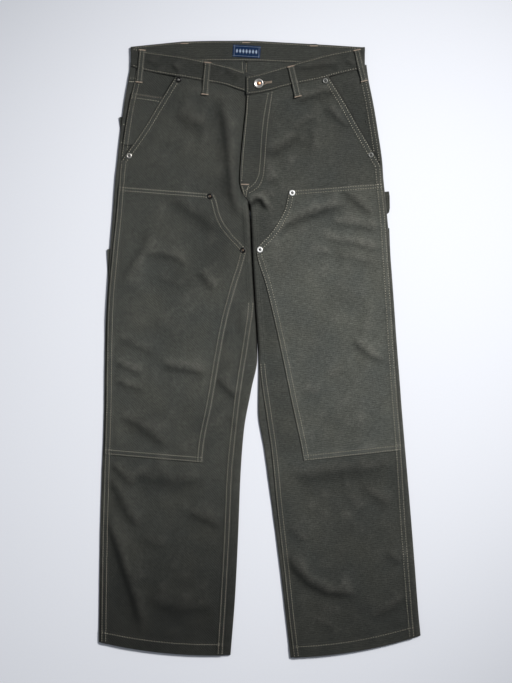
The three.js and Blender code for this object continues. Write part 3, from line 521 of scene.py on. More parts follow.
@dataclass
class Leg:
    """Pattern of one leg: its edges, crossing lines, folds and the height of each layer."""

    side: str
    outward: int
    edges: list[EdgeRow]
    patch: tuple[tuple[float, float], ...]
    slash_points: tuple[tuple[float, float], ...]
    slash_end: float
    centre_back: float
    centre_from: float
    folds: tuple[Fold, ...]
    grain: float
    band: list[BandRow]
    lines: dict[str, Line] = field(default_factory=dict)

    def __post_init__(self) -> None:
        """Draws the edge curves and the line where the band starts."""
        self.outer = curve([(row.y, row.outer) for row in self.edges])
        self.outseam = curve([(row.y, row.outseam) for row in self.edges])
        self.inseam = curve([(row.y, row.inseam) for row in self.edges])
        self.inner = curve([(row.y, row.inner) for row in self.edges])
        self.patch_edge = curve(self.patch)
        self.slash = curve(self.slash_points)
        waist = curve([(row.x, row.bottom) for row in self.band])
        back = curve([(row.x, row.bottom) for row in BAND_BACK])
        self.lines["waist"] = waist
        self.lines["under_band"] = raised(waist, 9)
        self.lines["back_waist"] = raised(back, 8)

    def front_outer(self, y: np.ndarray) -> np.ndarray:
        """Outer edge of the front panel: the outseam, then the slash pocket."""
        return np.where(y < self.slash_end, self.outseam(y), self.slash(y))

    def fold_height(self, y: np.ndarray) -> np.ndarray:
        """Height of the side folds over the layer that they lie on."""
        swell = FOLD_SWELL(self.outward * 40 + 0 * y, y)
        return FOLD_HEIGHT + 0.7 * swell + 0.3 * WAVE(self.outward * 90 + 0 * y, y)

    def split_drop(self, y: np.ndarray) -> np.ndarray:
        """How much lower the inner fold lies where the legs touch."""
        start, end = SPLIT_ENDS[self.side]
        return SPLIT_DROP * ease((y - start) / (end - start)) * (1 - ease((y - CROTCH_Y + 6) / 22))

    def strip_top(self, x: np.ndarray, y: np.ndarray) -> np.ndarray:
        """Top of the back panel's strip beside the seams."""
        return lift_at(y) + self.fold_height(y)

    def front(self, x: np.ndarray, y: np.ndarray) -> np.ndarray:
        """Top of the front panel over the surface.

        Args:
            x: x of the points.
            y: y of the points.

        Returns:
            The heights.
        """
        outer_x, inner_x = self.front_outer(y), self.inseam(y)
        outer = self.outward * (outer_x - x)
        inner = self.outward * (x - inner_x)
        from_outer = np.maximum(outer * steepness(self.front_outer, y), 0)
        from_inner = np.maximum(inner, 0)
        from_waist = self.lines["waist"](x) - y
        from_hem = y - self.lines["hem"](x)
        seam = self.fold_height(y) + STRIP_STEP
        above_slash = ease((y - self.slash_end + 34) / 26)
        above_crotch = ease((y - CROTCH_Y + 12) / 22)
        fly = FLY_UNDER if self.side == "right" else mix(FLY_END, FLY_OVER, ease((y - 276) / 60))
        drop = self.split_drop(y)
        top = PANEL_LEVEL + 0 * x
        top += (mix(seam, SLASH_LEVEL, above_slash) - PANEL_LEVEL) * (1 - ease(from_outer / PUFF_REACH))
        lap = 12 * above_crotch
        near_inner = 1 - ease((from_inner - lap) / PUFF_REACH)
        top += (mix(seam - drop, fly, above_crotch) - PANEL_LEVEL) * near_inner
        top -= 0.9 * drop * np.exp(-((from_inner / 1.8) ** 2))
        calm = ease((from_outer + 4) / 12) * ease((from_inner + 4) / 12) * ease((from_hem + 6) / 30)
        if self.side == "right":
            calm *= mix(1, ease((from_inner - 7) / 24), above_crotch)
        relief = crease_fields(self.folds, x, y)[0]
        relief += 0.55 * SWELL(x, y) + 0.3 * WAVE(x, y) + 0.1 * CRINKLE(x, y)
        top += calm * relief
        waist_level = WAIST_LEVEL + 0 * x
        if self.side == "left":
            waist_level += 1.3 * (1 - ease((from_inner - 24) / 30))
        else:
            waist_level -= 1.2 * (1 - ease((from_inner - 24) / 40))
        waist_level += 0.85 * np.exp(-((from_outer / 16) ** 2)) * above_slash
        shown = ease(from_waist / 22)
        top = mix(np.minimum(waist_level, top), top, shown)
        lowest = mix(2.9, SLASH_LEVEL - 0.2, above_slash * (1 - ease((from_outer - 30) / 20)) * shown)
        top = np.maximum(top, (lowest - 1.2 * (drop > 0)) * ease(from_waist / 10 + 0.6))
        calm_ends = ease(from_waist / 6)
        top += SEAM.relief(from_outer) * calm_ends
        top += SEAM.puckers(ALONG_SEAM(x, y), from_outer) * calm_ends
        if self.side == "left":
            top += mix(SEAM.relief(from_inner), SINGLE.relief(from_inner), above_crotch) * calm_ends
        else:
            top += SEAM.relief(from_inner) * (1 - above_crotch)
        top += SEAM.puckers(ALONG_SEAM(x + 300, y), from_inner) * (1 - above_crotch)
        top += HEM.relief(np.maximum(from_hem, 0))
        top += HEM.puckers(ACROSS_SEAM(x, y), from_hem)
        return lift_at(y) + top

    def patch_inside(self, x: np.ndarray, y: np.ndarray) -> np.ndarray:
        """Shortest distance inside the knee patch's three free edges, below zero outside them.

        Args:
            x: x of the points.
            y: y of the points.

        Returns:
            The distance, below zero outside the patch.
        """
        free = self.outward * (x - self.patch_edge(y)) * steepness(self.patch_edge, y)
        below = self.lines["patch_top"](x) - y
        above = y - self.lines["patch_bottom"](x)
        return np.minimum(free, np.minimum(below, above))

    def knee(self, x: np.ndarray, y: np.ndarray) -> np.ndarray:
        """Top of the knee patch.

        Args:
            x: x of the points.
            y: y of the points.

        Returns:
            The heights.
        """
        inside = np.maximum(self.patch_inside(x, y), 0)
        wave = SEAM.puckers(CRINKLE(x * 1.9, y * 1.9), inside)
        return self.front(x, y) + PATCH_CLOTH + 0.3 + SEAM.relief(inside) * 0.8 + wave

    def top(self, x: np.ndarray, y: np.ndarray) -> np.ndarray:
        """Top of whatever lies highest on the leg: the knee patch or the front panel."""
        return np.where(self.patch_inside(x, y) > 0, self.knee(x, y), self.front(x, y))

    def shade(self, x: np.ndarray, y: np.ndarray) -> np.ndarray:
        """Painted shade of the cloth: darker in creases, where the legs touch at the split and beside the
        fly, 1 where it lies open.

        Args:
            x: x of the points.
            y: y of the points.

        Returns:
            The share of light that it keeps.
        """
        bright = 1 - crease_fields(self.folds, x, y)[1]
        # painted shade: a dark line where the two legs touch at the split
        beside = np.abs(x - self.inner(y))
        touching_shade_mask = ease((y + 26) / 30) * (1 - ease((y - CROTCH_Y + 4) / 10))
        bright *= 1 - touching_shade_mask * (0.93 * np.exp(-((beside / 2.3) ** 2)) + 0.10 * np.exp(-beside / 9))
        if self.side == "right":
            # painted shadow of the left fly's edge on the right panel
            gap = np.maximum(FLY_LINE(y) - x, 0)
            above = ease((y - 268) / 24)
            bright *= 1 - above * (0.76 * np.exp(-((gap / 2.4) ** 4)) + 0.20 * np.exp(-gap / 16))
        else:
            # painted shade over the left fly
            bright *= 1 - 0.05 * ease((FLY_CURVE(y) - x) / 9) * ease((y - 282) / 24)
        return np.clip(bright, 0.03, 1.25)

    def facing_bottom(self, x: np.ndarray) -> np.ndarray:
        """Bottom edge of the slash pocket's facing."""
        return self.slash_end + 4 + 0 * x

    def facing(self, x: np.ndarray, y: np.ndarray) -> np.ndarray:
        """Top of the slash pocket's facing.

        Args:
            x: x of the points.
            y: y of the points.

        Returns:
            The heights.
        """
        from_seam = self.outward * (self.outseam(y) - x)
        opening = np.maximum(self.outward * (self.outseam(y) - self.slash(y)), 6)
        slope = ease(from_seam / opening)
        seam = self.fold_height(y) + STRIP_STEP
        level = mix(seam, FACING_LEVEL, slope)
        from_waist = self.lines["waist"](x) - y
        level = mix(np.minimum(level, mix(4.5, 2.4, slope)), level, ease((from_waist + 2) / 18))
        inside = np.maximum(from_seam, 0)
        level += (SEAM.relief(inside) + SEAM.puckers(ALONG_SEAM(x, y), inside)) * ease(from_waist / 6)
        return lift_at(y) + level + 0.12 * WAVE(x, y) + 0.05 * CRINKLE(x, y)


def make_legs() -> dict[str, Leg]:
    """Both legs' patterns with their crossing lines.

    Returns:
        The legs by side.
    """
    right = Leg(
        side="right", outward=-1, edges=RIGHT_EDGES, patch=RIGHT_PATCH,
        slash_points=RIGHT_SLASH, slash_end=338,
        centre_back=-26.9, centre_from=240, folds=RIGHT_FOLDS, grain=-0.80, band=BAND_FRONT_RIGHT,
        lines={
            "hem": bowed(-292.1, -527.8, -54.8, -551.2, 8),
            "hem_top": bowed(-291.8, -507.8, -54.3, -531.2, 8),
            "patch_bottom": bowed(-284.2, -189.5, -34.8, -210.0),
            "patch_point": bowed(-271.0, 196.0, -16.8, 176.5),
            "patch_top": bowed(-263.3, 293.2, -28.0, 274.6),
            "yoke_seam": bowed(-238.9, 484.0, -26.9, 449.0),
        },
    )
    left = Leg(
        side="left", outward=1, edges=LEFT_EDGES, patch=LEFT_PATCH, slash_points=LEFT_SLASH, slash_end=330,
        centre_back=-26.3, centre_from=246, folds=LEFT_FOLDS, grain=0.10, band=BAND_FRONT_LEFT,
        lines={
            "hem": bowed(292.3, -514.6, 53.4, -555.9, 9),
            "hem_top": bowed(290.0, -494.6, 51.6, -535.9, 9),
            "patch_bottom": bowed(260.5, -181.4, 7.5, -208.6),
            "patch_point": bowed(231.2, 197.0, -15.0, 177.6),
            "patch_top": bowed(221.6, 298.0, -37.4, 277.8),
            "yoke_seam": bowed(194.4, 484.0, -26.3, 449.0),
        },
    )
    return {"right": right, "left": left}


def label_shift() -> np.ndarray:
    """Step from the pattern frame to the shared frame, from where the label lies in both."""
    low, high = (np.array(corner[:2]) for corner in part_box("label"))
    return (low + high) / 2 - np.array([LABEL.x, LABEL.y]) / 1000


def to_frame(points: np.ndarray) -> np.ndarray:
    """Points in pattern millimetres as metres in the shared frame.

    Args:
        points: millimetres.

    Returns:
        Metres.
    """
    placed = np.asarray(points, dtype=float).reshape(-1, 3) / 1000
    placed[:, :2] += label_shift()
    return placed


# Making meshes
def finish_piece(
    piece: bpy.types.Object, finish: bpy.types.Material, slot: str, *nodes: str,
) -> bpy.types.Object:
    """Dresses a piece, lets it ride the trousers and hides the CAD nodes that it stands for.

    Args:
        piece: the finished object.
        finish: its material.
        slot: not used.
        nodes: the CAD nodes that it replaces.

    Returns:
        The same piece.
    """
    piece.data.materials.clear()
    piece.data.materials.append(finish)
    piece.data.polygons.foreach_set("use_smooth", [True] * len(piece.data.polygons))
    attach(piece, "root")
    if nodes:
        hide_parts(*nodes)
    LOG.info("%s: %d faces", piece.name, len(piece.data.polygons))
    return piece


def add_object(name: str, mesh: bpy.types.Mesh) -> bpy.types.Object:
    """New object of a mesh, linked to the scene.

    Args:
        name: the object's name.
        mesh: its mesh.

    Returns:
        The object.
    """
    piece = bpy.data.objects.new(name, mesh)
    bpy.context.scene.collection.objects.link(piece)
    return piece


def mesh_of(name: str, shape: bmesh.types.BMesh) -> bpy.types.Mesh:
    """Mesh of a bmesh, which is freed.

    Args:
        name: the mesh's name.
        shape: the bmesh.

    Returns:
        The mesh.
    """
    mesh = bpy.data.meshes.new(name)
    shape.to_mesh(mesh)
    shape.free()
    return mesh


def corners_of(mesh: bpy.types.Mesh) -> np.ndarray:
    """Point number of every face corner.

    Args:
        mesh: the mesh.

    Returns:
        The numbers, in the order of the corners.
    """
    corners = np.empty(len(mesh.loops), dtype=int)
    mesh.loops.foreach_get("vertex_index", corners)
    return corners


def lay_weave(mesh: bpy.types.Mesh, places: np.ndarray) -> None:
    """Gives each point its place on the weave map.

    Args:
        mesh: the mesh.
        places: two metres for each point.
    """
    layer = mesh.uv_layers.get("weave") or mesh.uv_layers.new(name="weave")
    layer.data.foreach_set("uv", places[corners_of(mesh)].astype(np.float32).ravel())


def carry(mesh: bpy.types.Mesh, **values: np.ndarray) -> None:
    """Stores values at the points.

    Args:
        mesh: the mesh.
        values: numbers for the points, by the name that the finish reads.
    """
    for key, numbers in values.items():
        mesh.attributes.new(key, "FLOAT", "POINT").data.foreach_set("value", numbers.astype(np.float32))


def cloth_piece(
    name: str,
    points: np.ndarray,
    thickness: float,
    grain: float = 0.0,
    wash: np.ndarray | float = 1.0,
    wear: np.ndarray | float = 0.0,
    faces_down: bool = False,
) -> bpy.types.Object:
    """Sheet of cloth: a grid laid on its points and given its thickness on the inner side.

    Args:
        name: the piece's name.
        points: outer face as rows by columns by 3, in pattern millimetres.
        thickness: the cloth's thickness in millimetres.
        grain: turn of the weave in radians.
        wash: brightness at each point, 1 for the common tone: partly the cloth's fading, partly painted
            light fall-off, painted sheen and painted shade.
        wear: how worn it is at each point and how far its ridges are lightened as painted highlight, from 0
            to 1.
        faces_down: whether the sheet's middle faces the surface.

    Returns:
        The piece, with a Solidify modifier.
    """
    rows, columns = points.shape[:2]
    shape = bmesh.new()
    bmesh.ops.create_grid(shape, x_segments=columns - 1, y_segments=rows - 1, size=0.5)
    middle_row, middle_column = rows // 2, columns // 2
    here = points[middle_row, middle_column]
    across = points[middle_row, middle_column + 1] - here
    up = points[middle_row + 1, middle_column] - here
    if (np.cross(across, up)[2] < 0) != faces_down:
        bmesh.ops.reverse_faces(shape, faces=shape.faces)
    mesh = mesh_of(name, shape)
    count = rows * columns
    flat = np.empty(count * 3)
    mesh.vertices.foreach_get("co", flat)
    flat = flat.reshape(-1, 3)
    column = np.rint((flat[:, 0] + 0.5) * (columns - 1)).astype(int)
    row = np.rint((flat[:, 1] + 0.5) * (rows - 1)).astype(int)
    mesh.vertices.foreach_set("co", to_frame(points[row, column]).ravel())
    steps_across = np.linalg.norm(np.diff(points, axis=1), axis=2)
    walked = np.concatenate([np.zeros((rows, 1)), np.cumsum(steps_across, axis=1)], axis=1)
    walked += points[:, :1, 0] * np.sign(across[0] or 1)
    pattern_x = walked * np.sign(across[0] or 1)
    pattern_y = points[:, :, 1]
    turned_x = pattern_x * math.cos(grain) + pattern_y * math.sin(grain)
    turned_y = pattern_y * math.cos(grain) - pattern_x * math.sin(grain)
    uv = np.stack([turned_x, turned_y], axis=-1)[row, column] / 1000
    lay_weave(mesh, uv)
    wash, wear = (np.broadcast_to(value, (rows, columns))[row, column] for value in (wash, wear))
    carry(mesh, wash=wash, wear=wear)
    mesh.update()
    piece = add_object(name, mesh)
    wall = piece.modifiers.new("cloth", "SOLIDIFY")
    wall.thickness = thickness / 1000
    wall.offset = -1
    wall.use_even_offset = False
    wall.use_quality_normals = True
    return piece


def shade_gaps(piece: bpy.types.Object, gap_shade_finish: bpy.types.Material) -> None:
    """Gives the faces inside narrow gaps a shaded copy of the cloth's finish, without gloss and nap, as
    painted shade.

    Args:
        piece: a sheet of cloth with its wash.
        gap_shade_finish: the shaded finish.
    """
    mesh = piece.data
    values = np.empty(len(mesh.vertices), dtype=np.float32)
    mesh.attributes["wash"].data.foreach_get("value", values)
    wash = values[corners_of(mesh)].reshape(-1, 4).mean(axis=1)
    centres = np.empty(len(mesh.polygons) * 3)
    mesh.polygons.foreach_get("center", centres)
    in_gap = (wash < GAP_SHADE_LIMIT) & (centres[1::3] > GAPS_FROM / 1000)
    mesh.materials.append(gap_shade_finish)
    mesh.polygons.foreach_set("material_index", in_gap.astype(np.int32))


def spaced(
    length: float, cell: float, fine: Sequence[float], fine_end: Sequence[float] | None = None,
) -> np.ndarray:
    """Distances from 0 to length: given fine ones near both ends and even ones between.

    Args:
        length: the whole distance.
        cell: spacing of the even ones.
        fine: distances near the start.
        fine_end: distances back from the end, like those at the start where they aren't given.

    Returns:
        The rising distances.
    """
    start = np.array(fine, dtype=float)
    end = length - np.array(fine if fine_end is None else fine_end, dtype=float)[::-1]
    count = max(2, int(round((end[0] - start[-1]) / cell)))
    between = np.linspace(start[-1], end[0], count + 1)[1:-1]
    return np.concatenate([start, between, end])


def columns_between(from_x: np.ndarray, to_x: np.ndarray, offsets: np.ndarray, fine: int) -> np.ndarray:
    """Columns between two edges, at fixed offsets near each and spread evenly between.

    Args:
        from_x: x of the first edge for each row.
        to_x: x of the last edge for each row.
        offsets: distances made by spaced() for a typical width.
        fine: how many of them are fixed at each end.

    Returns:
        x as rows by columns.
    """
    width = np.abs(to_x - from_x)[:, None]
    sense = np.sign(to_x - from_x)[:, None]
    length = offsets[-1]
    start, end = offsets[fine - 1], length - offsets[-fine]
    share = (offsets - start) / (offsets[-fine] - start)
    walked = np.where(
        offsets <= start,
        offsets,
        np.where(
            offsets >= offsets[-fine], width - (length - offsets), start + share * (width - start - end),
        ),
    )
    return from_x[:, None] + sense * walked


EDGE_STEPS = (0, 0.15, 0.4, 0.8, 1.3, 1.9, 2.5, 3.3, 4.6, 6.2, 7.8, 8.7, 9.3, 9.9, 10.7, 11.7, 12.9, 15)
HEM_STEPS = (0, 0.2, 0.6, 1.2, 2.4, 5, 8, 11, 14, 16.5, 18.3, 19, 19.6, 20.2, 21, 22, 23.4, 25.5)


class Rows:
    """Rows that cross a leg, from one named line to the next."""

    def __init__(self, leg: Leg, stages: Sequence[tuple[str, np.ndarray]], start: str) -> None:
        """Lists the rows.

        Args:
            leg: the leg.
            stages: each next line with the shares of the way to it, above 0 and up to 1.
            start: the first line.
        """
        self.rows = [(leg.lines[start], leg.lines[start], 0.0)]
        for name, steps in stages:
            self.rows += [(leg.lines[start], leg.lines[name], float(share)) for share in steps]
            start = name

    def __call__(self, x: np.ndarray) -> np.ndarray:
        """y of every row at its own x values."""
        places = zip(x, self.rows, strict=True)
        return np.stack([mix(low(row), high(row), share) for row, (low, high, share) in places])

    def level(self, x: np.ndarray) -> np.ndarray:
        """y of every row at one x each."""
        return self(x[:, None])[:, 0]

    def meet(self, edge: Line) -> np.ndarray:
        """Finds where a steep edge crosses each row.

        Args:
            edge: x of the edge as a function of y.

        Returns:
            x for each row.
        """
        y = self(edge(np.zeros((len(self.rows), 1))))
        for _ in range(MEET_TURNS):
            y = self(edge(y))
        return edge(y)[:, 0]


def shares(
    length: float, cell: float, fine: Sequence[float] = (0,), fine_end: Sequence[float] | None = None,
) -> np.ndarray:
    """Shares of the way over a length, without its start."""
    return (spaced(length, cell, fine, fine_end) / length)[1:]


# Finishes
class Bench:
    """Small helper that builds one node material."""

    def __init__(self, name: str) -> None:
        """Starts a material that has only its shader and output.

        Args:
            name: the material's name.
        """
        self.material = bpy.data.materials.new(name)
        self.material.use_nodes = True
        self.tree = self.material.node_tree
        self.shader = self.tree.nodes["Principled BSDF"]

    def plug(self, value: object, socket: bpy.types.NodeSocket) -> None:
        """Links a socket to another, or sets a plain value on it.

        Args:
            value: a socket or a plain value.
            socket: the socket that takes it.
        """
        if isinstance(value, bpy.types.NodeSocket):
            self.tree.links.new(value, socket)
        else:
            socket.default_value = value

    def node(self, kind: str, inputs: dict[str | int, object], **values: object) -> bpy.types.Node:
        """Adds a node.

        Args:
            kind: its type.
            inputs: values or sockets for its inputs, by name or number.
            values: its properties.

        Returns:
            The node.
        """
        made = self.tree.nodes.new(kind)
        for key, value in values.items():
            setattr(made, key, value)
        for key, value in inputs.items():
            self.plug(value, made.inputs[key])
        return made

    def place(self) -> bpy.types.NodeSocket:
        """Place in the object's own space."""
        return self.node("ShaderNodeTexCoord", {}).outputs["Object"]

    def weave(self) -> bpy.types.NodeSocket:
        """Place on the cloth's own weave map, in metres."""
        return self.node("ShaderNodeUVMap", {}, uv_map="weave").outputs[0]

    def attribute(self, name: str) -> bpy.types.NodeSocket:
        """Value that the mesh carries at each point."""
        return self.node("ShaderNodeAttribute", {}, attribute_name=name).outputs["Fac"]

    def sums(self, operation: str, a: object, b: object = 0.0, c: object = 0.0) -> bpy.types.NodeSocket:
        """Result of a Math node."""
        return self.node("ShaderNodeMath", {0: a, 1: b, 2: c}, operation=operation).outputs[0]

    def product(self, first: object, *others: object) -> bpy.types.NodeSocket:
        """Multiplies values.

        Args:
            first: the first value.
            others: the values that it is multiplied by.

        Returns:
            Their product.
        """
        for other in others:
            first = self.sums("MULTIPLY", first, other)
        return first

    def noise(
        self, vector: object, scale: float, detail: float = 2.0, rough: float = 0.5,
    ) -> bpy.types.NodeSocket:
        """Value of a noise texture."""
        inputs = {"Vector": vector, "Scale": scale, "Detail": detail, "Roughness": rough}
        return self.node("ShaderNodeTexNoise", inputs).outputs["Fac"]

    def stretch(self, vector: object, scale: tuple[float, ...], turn: float = 0.0) -> bpy.types.NodeSocket:
        """Scales and turns a pattern."""
        inputs = {"Vector": vector, "Scale": scale, "Rotation": (0, 0, turn)}
        return self.node("ShaderNodeMapping", inputs).outputs[0]

    def bands(
        self, vector: object, pitch: float, direction: str, wobble: float = 0.6, cell: float = 0.6,
    ) -> bpy.types.NodeSocket:
        """Makes yarns as soft bands.

        Args:
            vector: the pattern's place.
            pitch: the bands' spacing in metres.
            direction: X, Y or DIAGONAL.
            wobble: how uneven they are.
            cell: how fine the unevenness is.

        Returns:
            Their height from 0 to 1.
        """
        inputs = {
            "Vector": vector, "Scale": 2 * math.pi / 20 / pitch, "Distortion": wobble, "Detail": 1.0,
            "Detail Scale": cell,
        }
        return self.node("ShaderNodeTexWave", inputs, bands_direction=direction).outputs["Fac"]

    def fade(self, share: object, a: object, b: object, blend: str = "MIX") -> bpy.types.NodeSocket:
        """Blend of two colours."""
        inputs = {0: share, 6: a, 7: b}
        return self.node("ShaderNodeMix", inputs, data_type="RGBA", blend_type=blend).outputs[2]

    def shaded(self, colour: object, light: object) -> bpy.types.NodeSocket:
        """Colour times a plain value."""
        grey = self.node("ShaderNodeCombineColor", {0: light, 1: light, 2: light}).outputs[0]
        return self.fade(1.0, colour, grey, "MULTIPLY")

    def span(
        self, value: object, low: float, high: float, to_low: float, to_high: float,
    ) -> bpy.types.NodeSocket:
        """Carries a value from one range to another."""
        inputs = {0: value, 1: low, 2: high, 3: to_low, 4: to_high}
        return self.node("ShaderNodeMapRange", inputs).outputs[0]

    def bump(self, height: object, strength: float, distance: float) -> bpy.types.NodeSocket:
        """Normal from a height, with the height of a full step in metres."""
        inputs = {"Height": height, "Strength": strength, "Distance": distance}
        return self.node("ShaderNodeBump", inputs).outputs[0]

    def dress(self, **sockets: object) -> bpy.types.Material:
        """Sets the shader's sockets by name, with spaces written as underscores.

        Args:
            sockets: values or sockets by name.

        Returns:
            The material.
        """
        for name, value in sockets.items():
            self.plug(value, self.shader.inputs[name.replace("_", " ")])
        return self.material


@dataclass(frozen=True)
class DuckFinish:
    """Washed cotton duck: twill lines, slubs, cloudy fading, worn edges and lightened ridges, a slight nap,
    and painted fall-off, sheen and shade carried by its points.
    """

    name: str = "washed_duck"
    shade: tuple[float, float, float] = (0.0530, 0.0545, 0.0462)
    cool: tuple[float, float, float] = (0.0448, 0.0477, 0.0424)
    rubbed_and_ridge_lit: tuple[float, float, float] = (0.105, 0.102, 0.089)
    yarn: float = 0.00075
    rib: float = 0.0033
    gloss: float = 0.22
    nap: float = 0.10

    def material(self) -> bpy.types.Material:
        """Builds the cloth's material.

        Returns:
            The material.
        """
        bench = Bench(self.name)
        weave = bench.weave()
        place = bench.place()
        warp = bench.bands(weave, self.yarn, "X")
        weft = bench.bands(weave, self.yarn * 0.9, "Y")
        rib = bench.bands(weave, self.rib, "Y", wobble=3.4, cell=1.6)
        slub = bench.noise(bench.stretch(weave, (120, 430, 1)), 1.0, 2.0)
        slub_warp = bench.noise(bench.stretch(weave, (400, 150, 1)), 1.0, 2.0)
        cloud = bench.noise(place, 13.0, 3.0, 0.55)
        blotch = bench.noise(place, 42.0, 3.0, 0.6)
        fuzz = bench.noise(place, 520.0, 3.0, 0.75)
        yarns = bench.product(warp, weft)
        tone = bench.fade(bench.span(cloud, 0.35, 0.65, 0, 1), (*self.shade, 1), (*self.cool, 1))
        # the worn colour also lightens fold ridges: partly worn cloth, partly painted highlight
        rubbing_and_ridge_light = bench.product(bench.attribute("wear"), bench.span(blotch, 0.3, 0.7, 0.25, 1.0))
        tone = bench.fade(rubbing_and_ridge_light, tone, (*self.rubbed_and_ridge_lit, 1))
        light = bench.product(
            bench.span(slub, 0.3, 0.7, 0.79, 1.20),
            bench.span(slub_warp, 0.3, 0.7, 0.86, 1.14),
            bench.span(blotch, 0.3, 0.7, 0.93, 1.07),
            bench.span(yarns, 0, 1, 0.84, 1.12),
            bench.span(rib, 0, 1, 0.88, 1.11),
            bench.span(fuzz, 0.3, 0.7, 0.76, 1.24),
            # painted light: each point's brightness holds painted fall-off, sheen and shade in creases and
            # gaps
            bench.attribute("wash"),
        )
        height = bench.sums("ADD", bench.product(yarns, 0.5), bench.product(rib, 0.8))
        height = bench.sums("ADD", height, bench.product(slub, 0.8))
        height = bench.sums("ADD", height, bench.product(fuzz, 0.35))
        rough = bench.span(slub, 0.2, 0.8, 0.78, 0.92)
        normal = bench.bump(height, 0.55, 0.00045)
        return bench.dress(
            Base_Color=bench.shaded(tone, light), Roughness=rough, Normal=normal,
            Specular_IOR_Level=self.gloss, Sheen_Weight=self.nap, Sheen_Roughness=0.45,
            Sheen_Tint=(0.86, 0.88, 0.82, 1),
        )


@dataclass(frozen=True)
class ThreadFinish:
    """Twisted cotton thread, with faded and darker stitches."""

    name: str
    light: tuple[float, float, float]
    dark: tuple[float, float, float]

    def material(self) -> bpy.types.Material:
        """Builds the thread's material.

        Returns:
            The material.
        """
        bench = Bench(self.name)
        place = bench.place()
        patches = bench.noise(place, 150.0, 2.0)
        drift = bench.noise(place, 9.0, 2.0)
        twist = bench.bands(bench.stretch(place, (1, 1, 1), 0.6), 0.0007, "DIAGONAL", 0.4)
        share = bench.span(bench.sums("ADD", patches, drift), 0.7, 1.3, 0, 1)
        colour = bench.fade(share, (*self.dark, 1), (*self.light, 1))
        colour = bench.shaded(colour, bench.span(twist, 0, 1, 0.8, 1.08))
        rough = bench.span(patches, 0.3, 0.7, 0.55, 0.75)
        return bench.dress(
            Base_Color=colour, Roughness=rough, Normal=bench.bump(twist, 0.4, 0.0002),
            Specular_IOR_Level=0.35, Sheen_Weight=0.2, Sheen_Roughness=0.4,
        )


@dataclass(frozen=True)
class MetalFinish:
    """Plated metal with dull patches and fine scratches."""

    name: str
    bright: tuple[float, float, float]
    dull: tuple[float, float, float]
    rough: float
    metallic: float = 1.0

    def material(self) -> bpy.types.Material:
        """Builds the metal's material.

        Returns:
            The material.
        """
        bench = Bench(self.name)
        place = bench.place()
        tarnish = bench.noise(place, 420.0, 4.0, 0.6)
        scratches = bench.noise(bench.stretch(place, (900, 5200, 900), 0.7), 1.0, 2.0)
        colour = bench.fade(bench.span(tarnish, 0.4, 0.68, 0, 1), (*self.bright, 1), (*self.dull, 1))
        uneven = bench.sums("ADD", tarnish, scratches)
        rough = bench.span(uneven, 0.7, 1.3, self.rough * 0.75, self.rough * 1.4)
        return bench.dress(
            Base_Color=colour, Metallic=self.metallic, Roughness=rough,
            Normal=bench.bump(uneven, 0.25, 0.0001),
        )


@dataclass(frozen=True)
class LabelFinish:
    """Navy satin label with a woven border and a row of pale lozenges."""

    name: str = "woven_label"
    navy: tuple[float, float, float] = (0.0008, 0.0140, 0.0520)
    pale: tuple[float, float, float] = (0.27, 0.33, 0.42)

    def material(self, width: float, height: float) -> bpy.types.Material:
        """Builds the label's material.

        Args:
            width: the label's width in metres.
            height: its height in metres.

        Returns:
            The material, which reads the label's own weave map.
        """
        bench = Bench(self.name)
        weave = bench.weave()
        parts = bench.node("ShaderNodeSeparateXYZ", {0: weave})
        across, along = parts.outputs[1], parts.outputs[0]
        half = height / 2
        level = bench.sums("ABSOLUTE", across)
        side = bench.sums("ABSOLUTE", along)
        line = bench.sums("COMPARE", level, half - 0.0024, 0.00014)
        ends = bench.sums("COMPARE", side, width / 2 - 0.0030, 0.00014)
        border = bench.sums("MAXIMUM", line, ends)
        cell = 0.0058
        wrapped = bench.sums("PINGPONG", bench.sums("ADD", along, cell), cell / 2)
        lozenge = bench.sums("ADD", wrapped, bench.product(level, 0.5))
        motif = bench.sums("LESS_THAN", lozenge, 0.0021)
        inside = bench.sums("LESS_THAN", side, width / 2 - 0.006)
        motif = bench.product(motif, inside)
        drawn = bench.sums("MAXIMUM", border, motif)
        yarn = bench.bands(weave, 0.00035, "Y", 0.3)
        picks = bench.noise(bench.stretch(weave, (300, 2600, 1)), 1.0, 2.0)
        colour = bench.fade(drawn, (*self.navy, 1), (*self.pale, 1))
        light = bench.product(bench.span(yarn, 0, 1, 0.8, 1.15), bench.span(picks, 0.3, 0.7, 0.85, 1.15))
        colour = bench.shaded(colour, light)
        height_map = bench.sums("ADD", bench.product(yarn, 0.4), drawn)
        return bench.dress(
            Base_Color=colour, Roughness=bench.span(picks, 0.3, 0.7, 0.42, 0.58),
            Normal=bench.bump(height_map, 0.4, 0.0002), Specular_IOR_Level=0.12,
            Sheen_Weight=0.02, Sheen_Roughness=0.3,
        )


@dataclass(frozen=True)
class FloorFinish:
    """Pale matt studio paper."""

    name: str = "studio_paper"
    shade: tuple[float, float, float] = (0.775, 0.79, 0.84)

    def material(self) -> bpy.types.Material:
        """Builds the floor's material.

        Returns:
            The material.
        """
        bench = Bench(self.name)
        place = bench.place()
        grain = bench.noise(place, 260.0, 3.0)
        dark, light = ((*[c * share for c in self.shade], 1) for share in (0.985, 1.01))
        return bench.dress(
            Base_Color=bench.fade(grain, dark, light), Roughness=0.9, Specular_IOR_Level=0.2,
            Normal=bench.bump(grain, 0.1, 0.0002),
        )


# Sewing
def offset_path(path: np.ndarray, amount: float) -> np.ndarray:
    """Path moved square to itself, to the left of its direction where the amount is above zero.

    Args:
        path: rows of x and y.
        amount: how far it moves.

    Returns:
        The moved path.
    """
    tangent = np.gradient(path, axis=0)
    tangent /= np.linalg.norm(tangent, axis=1, keepdims=True)
    return path + amount * np.stack([-tangent[:, 1], tangent[:, 0]], axis=1)


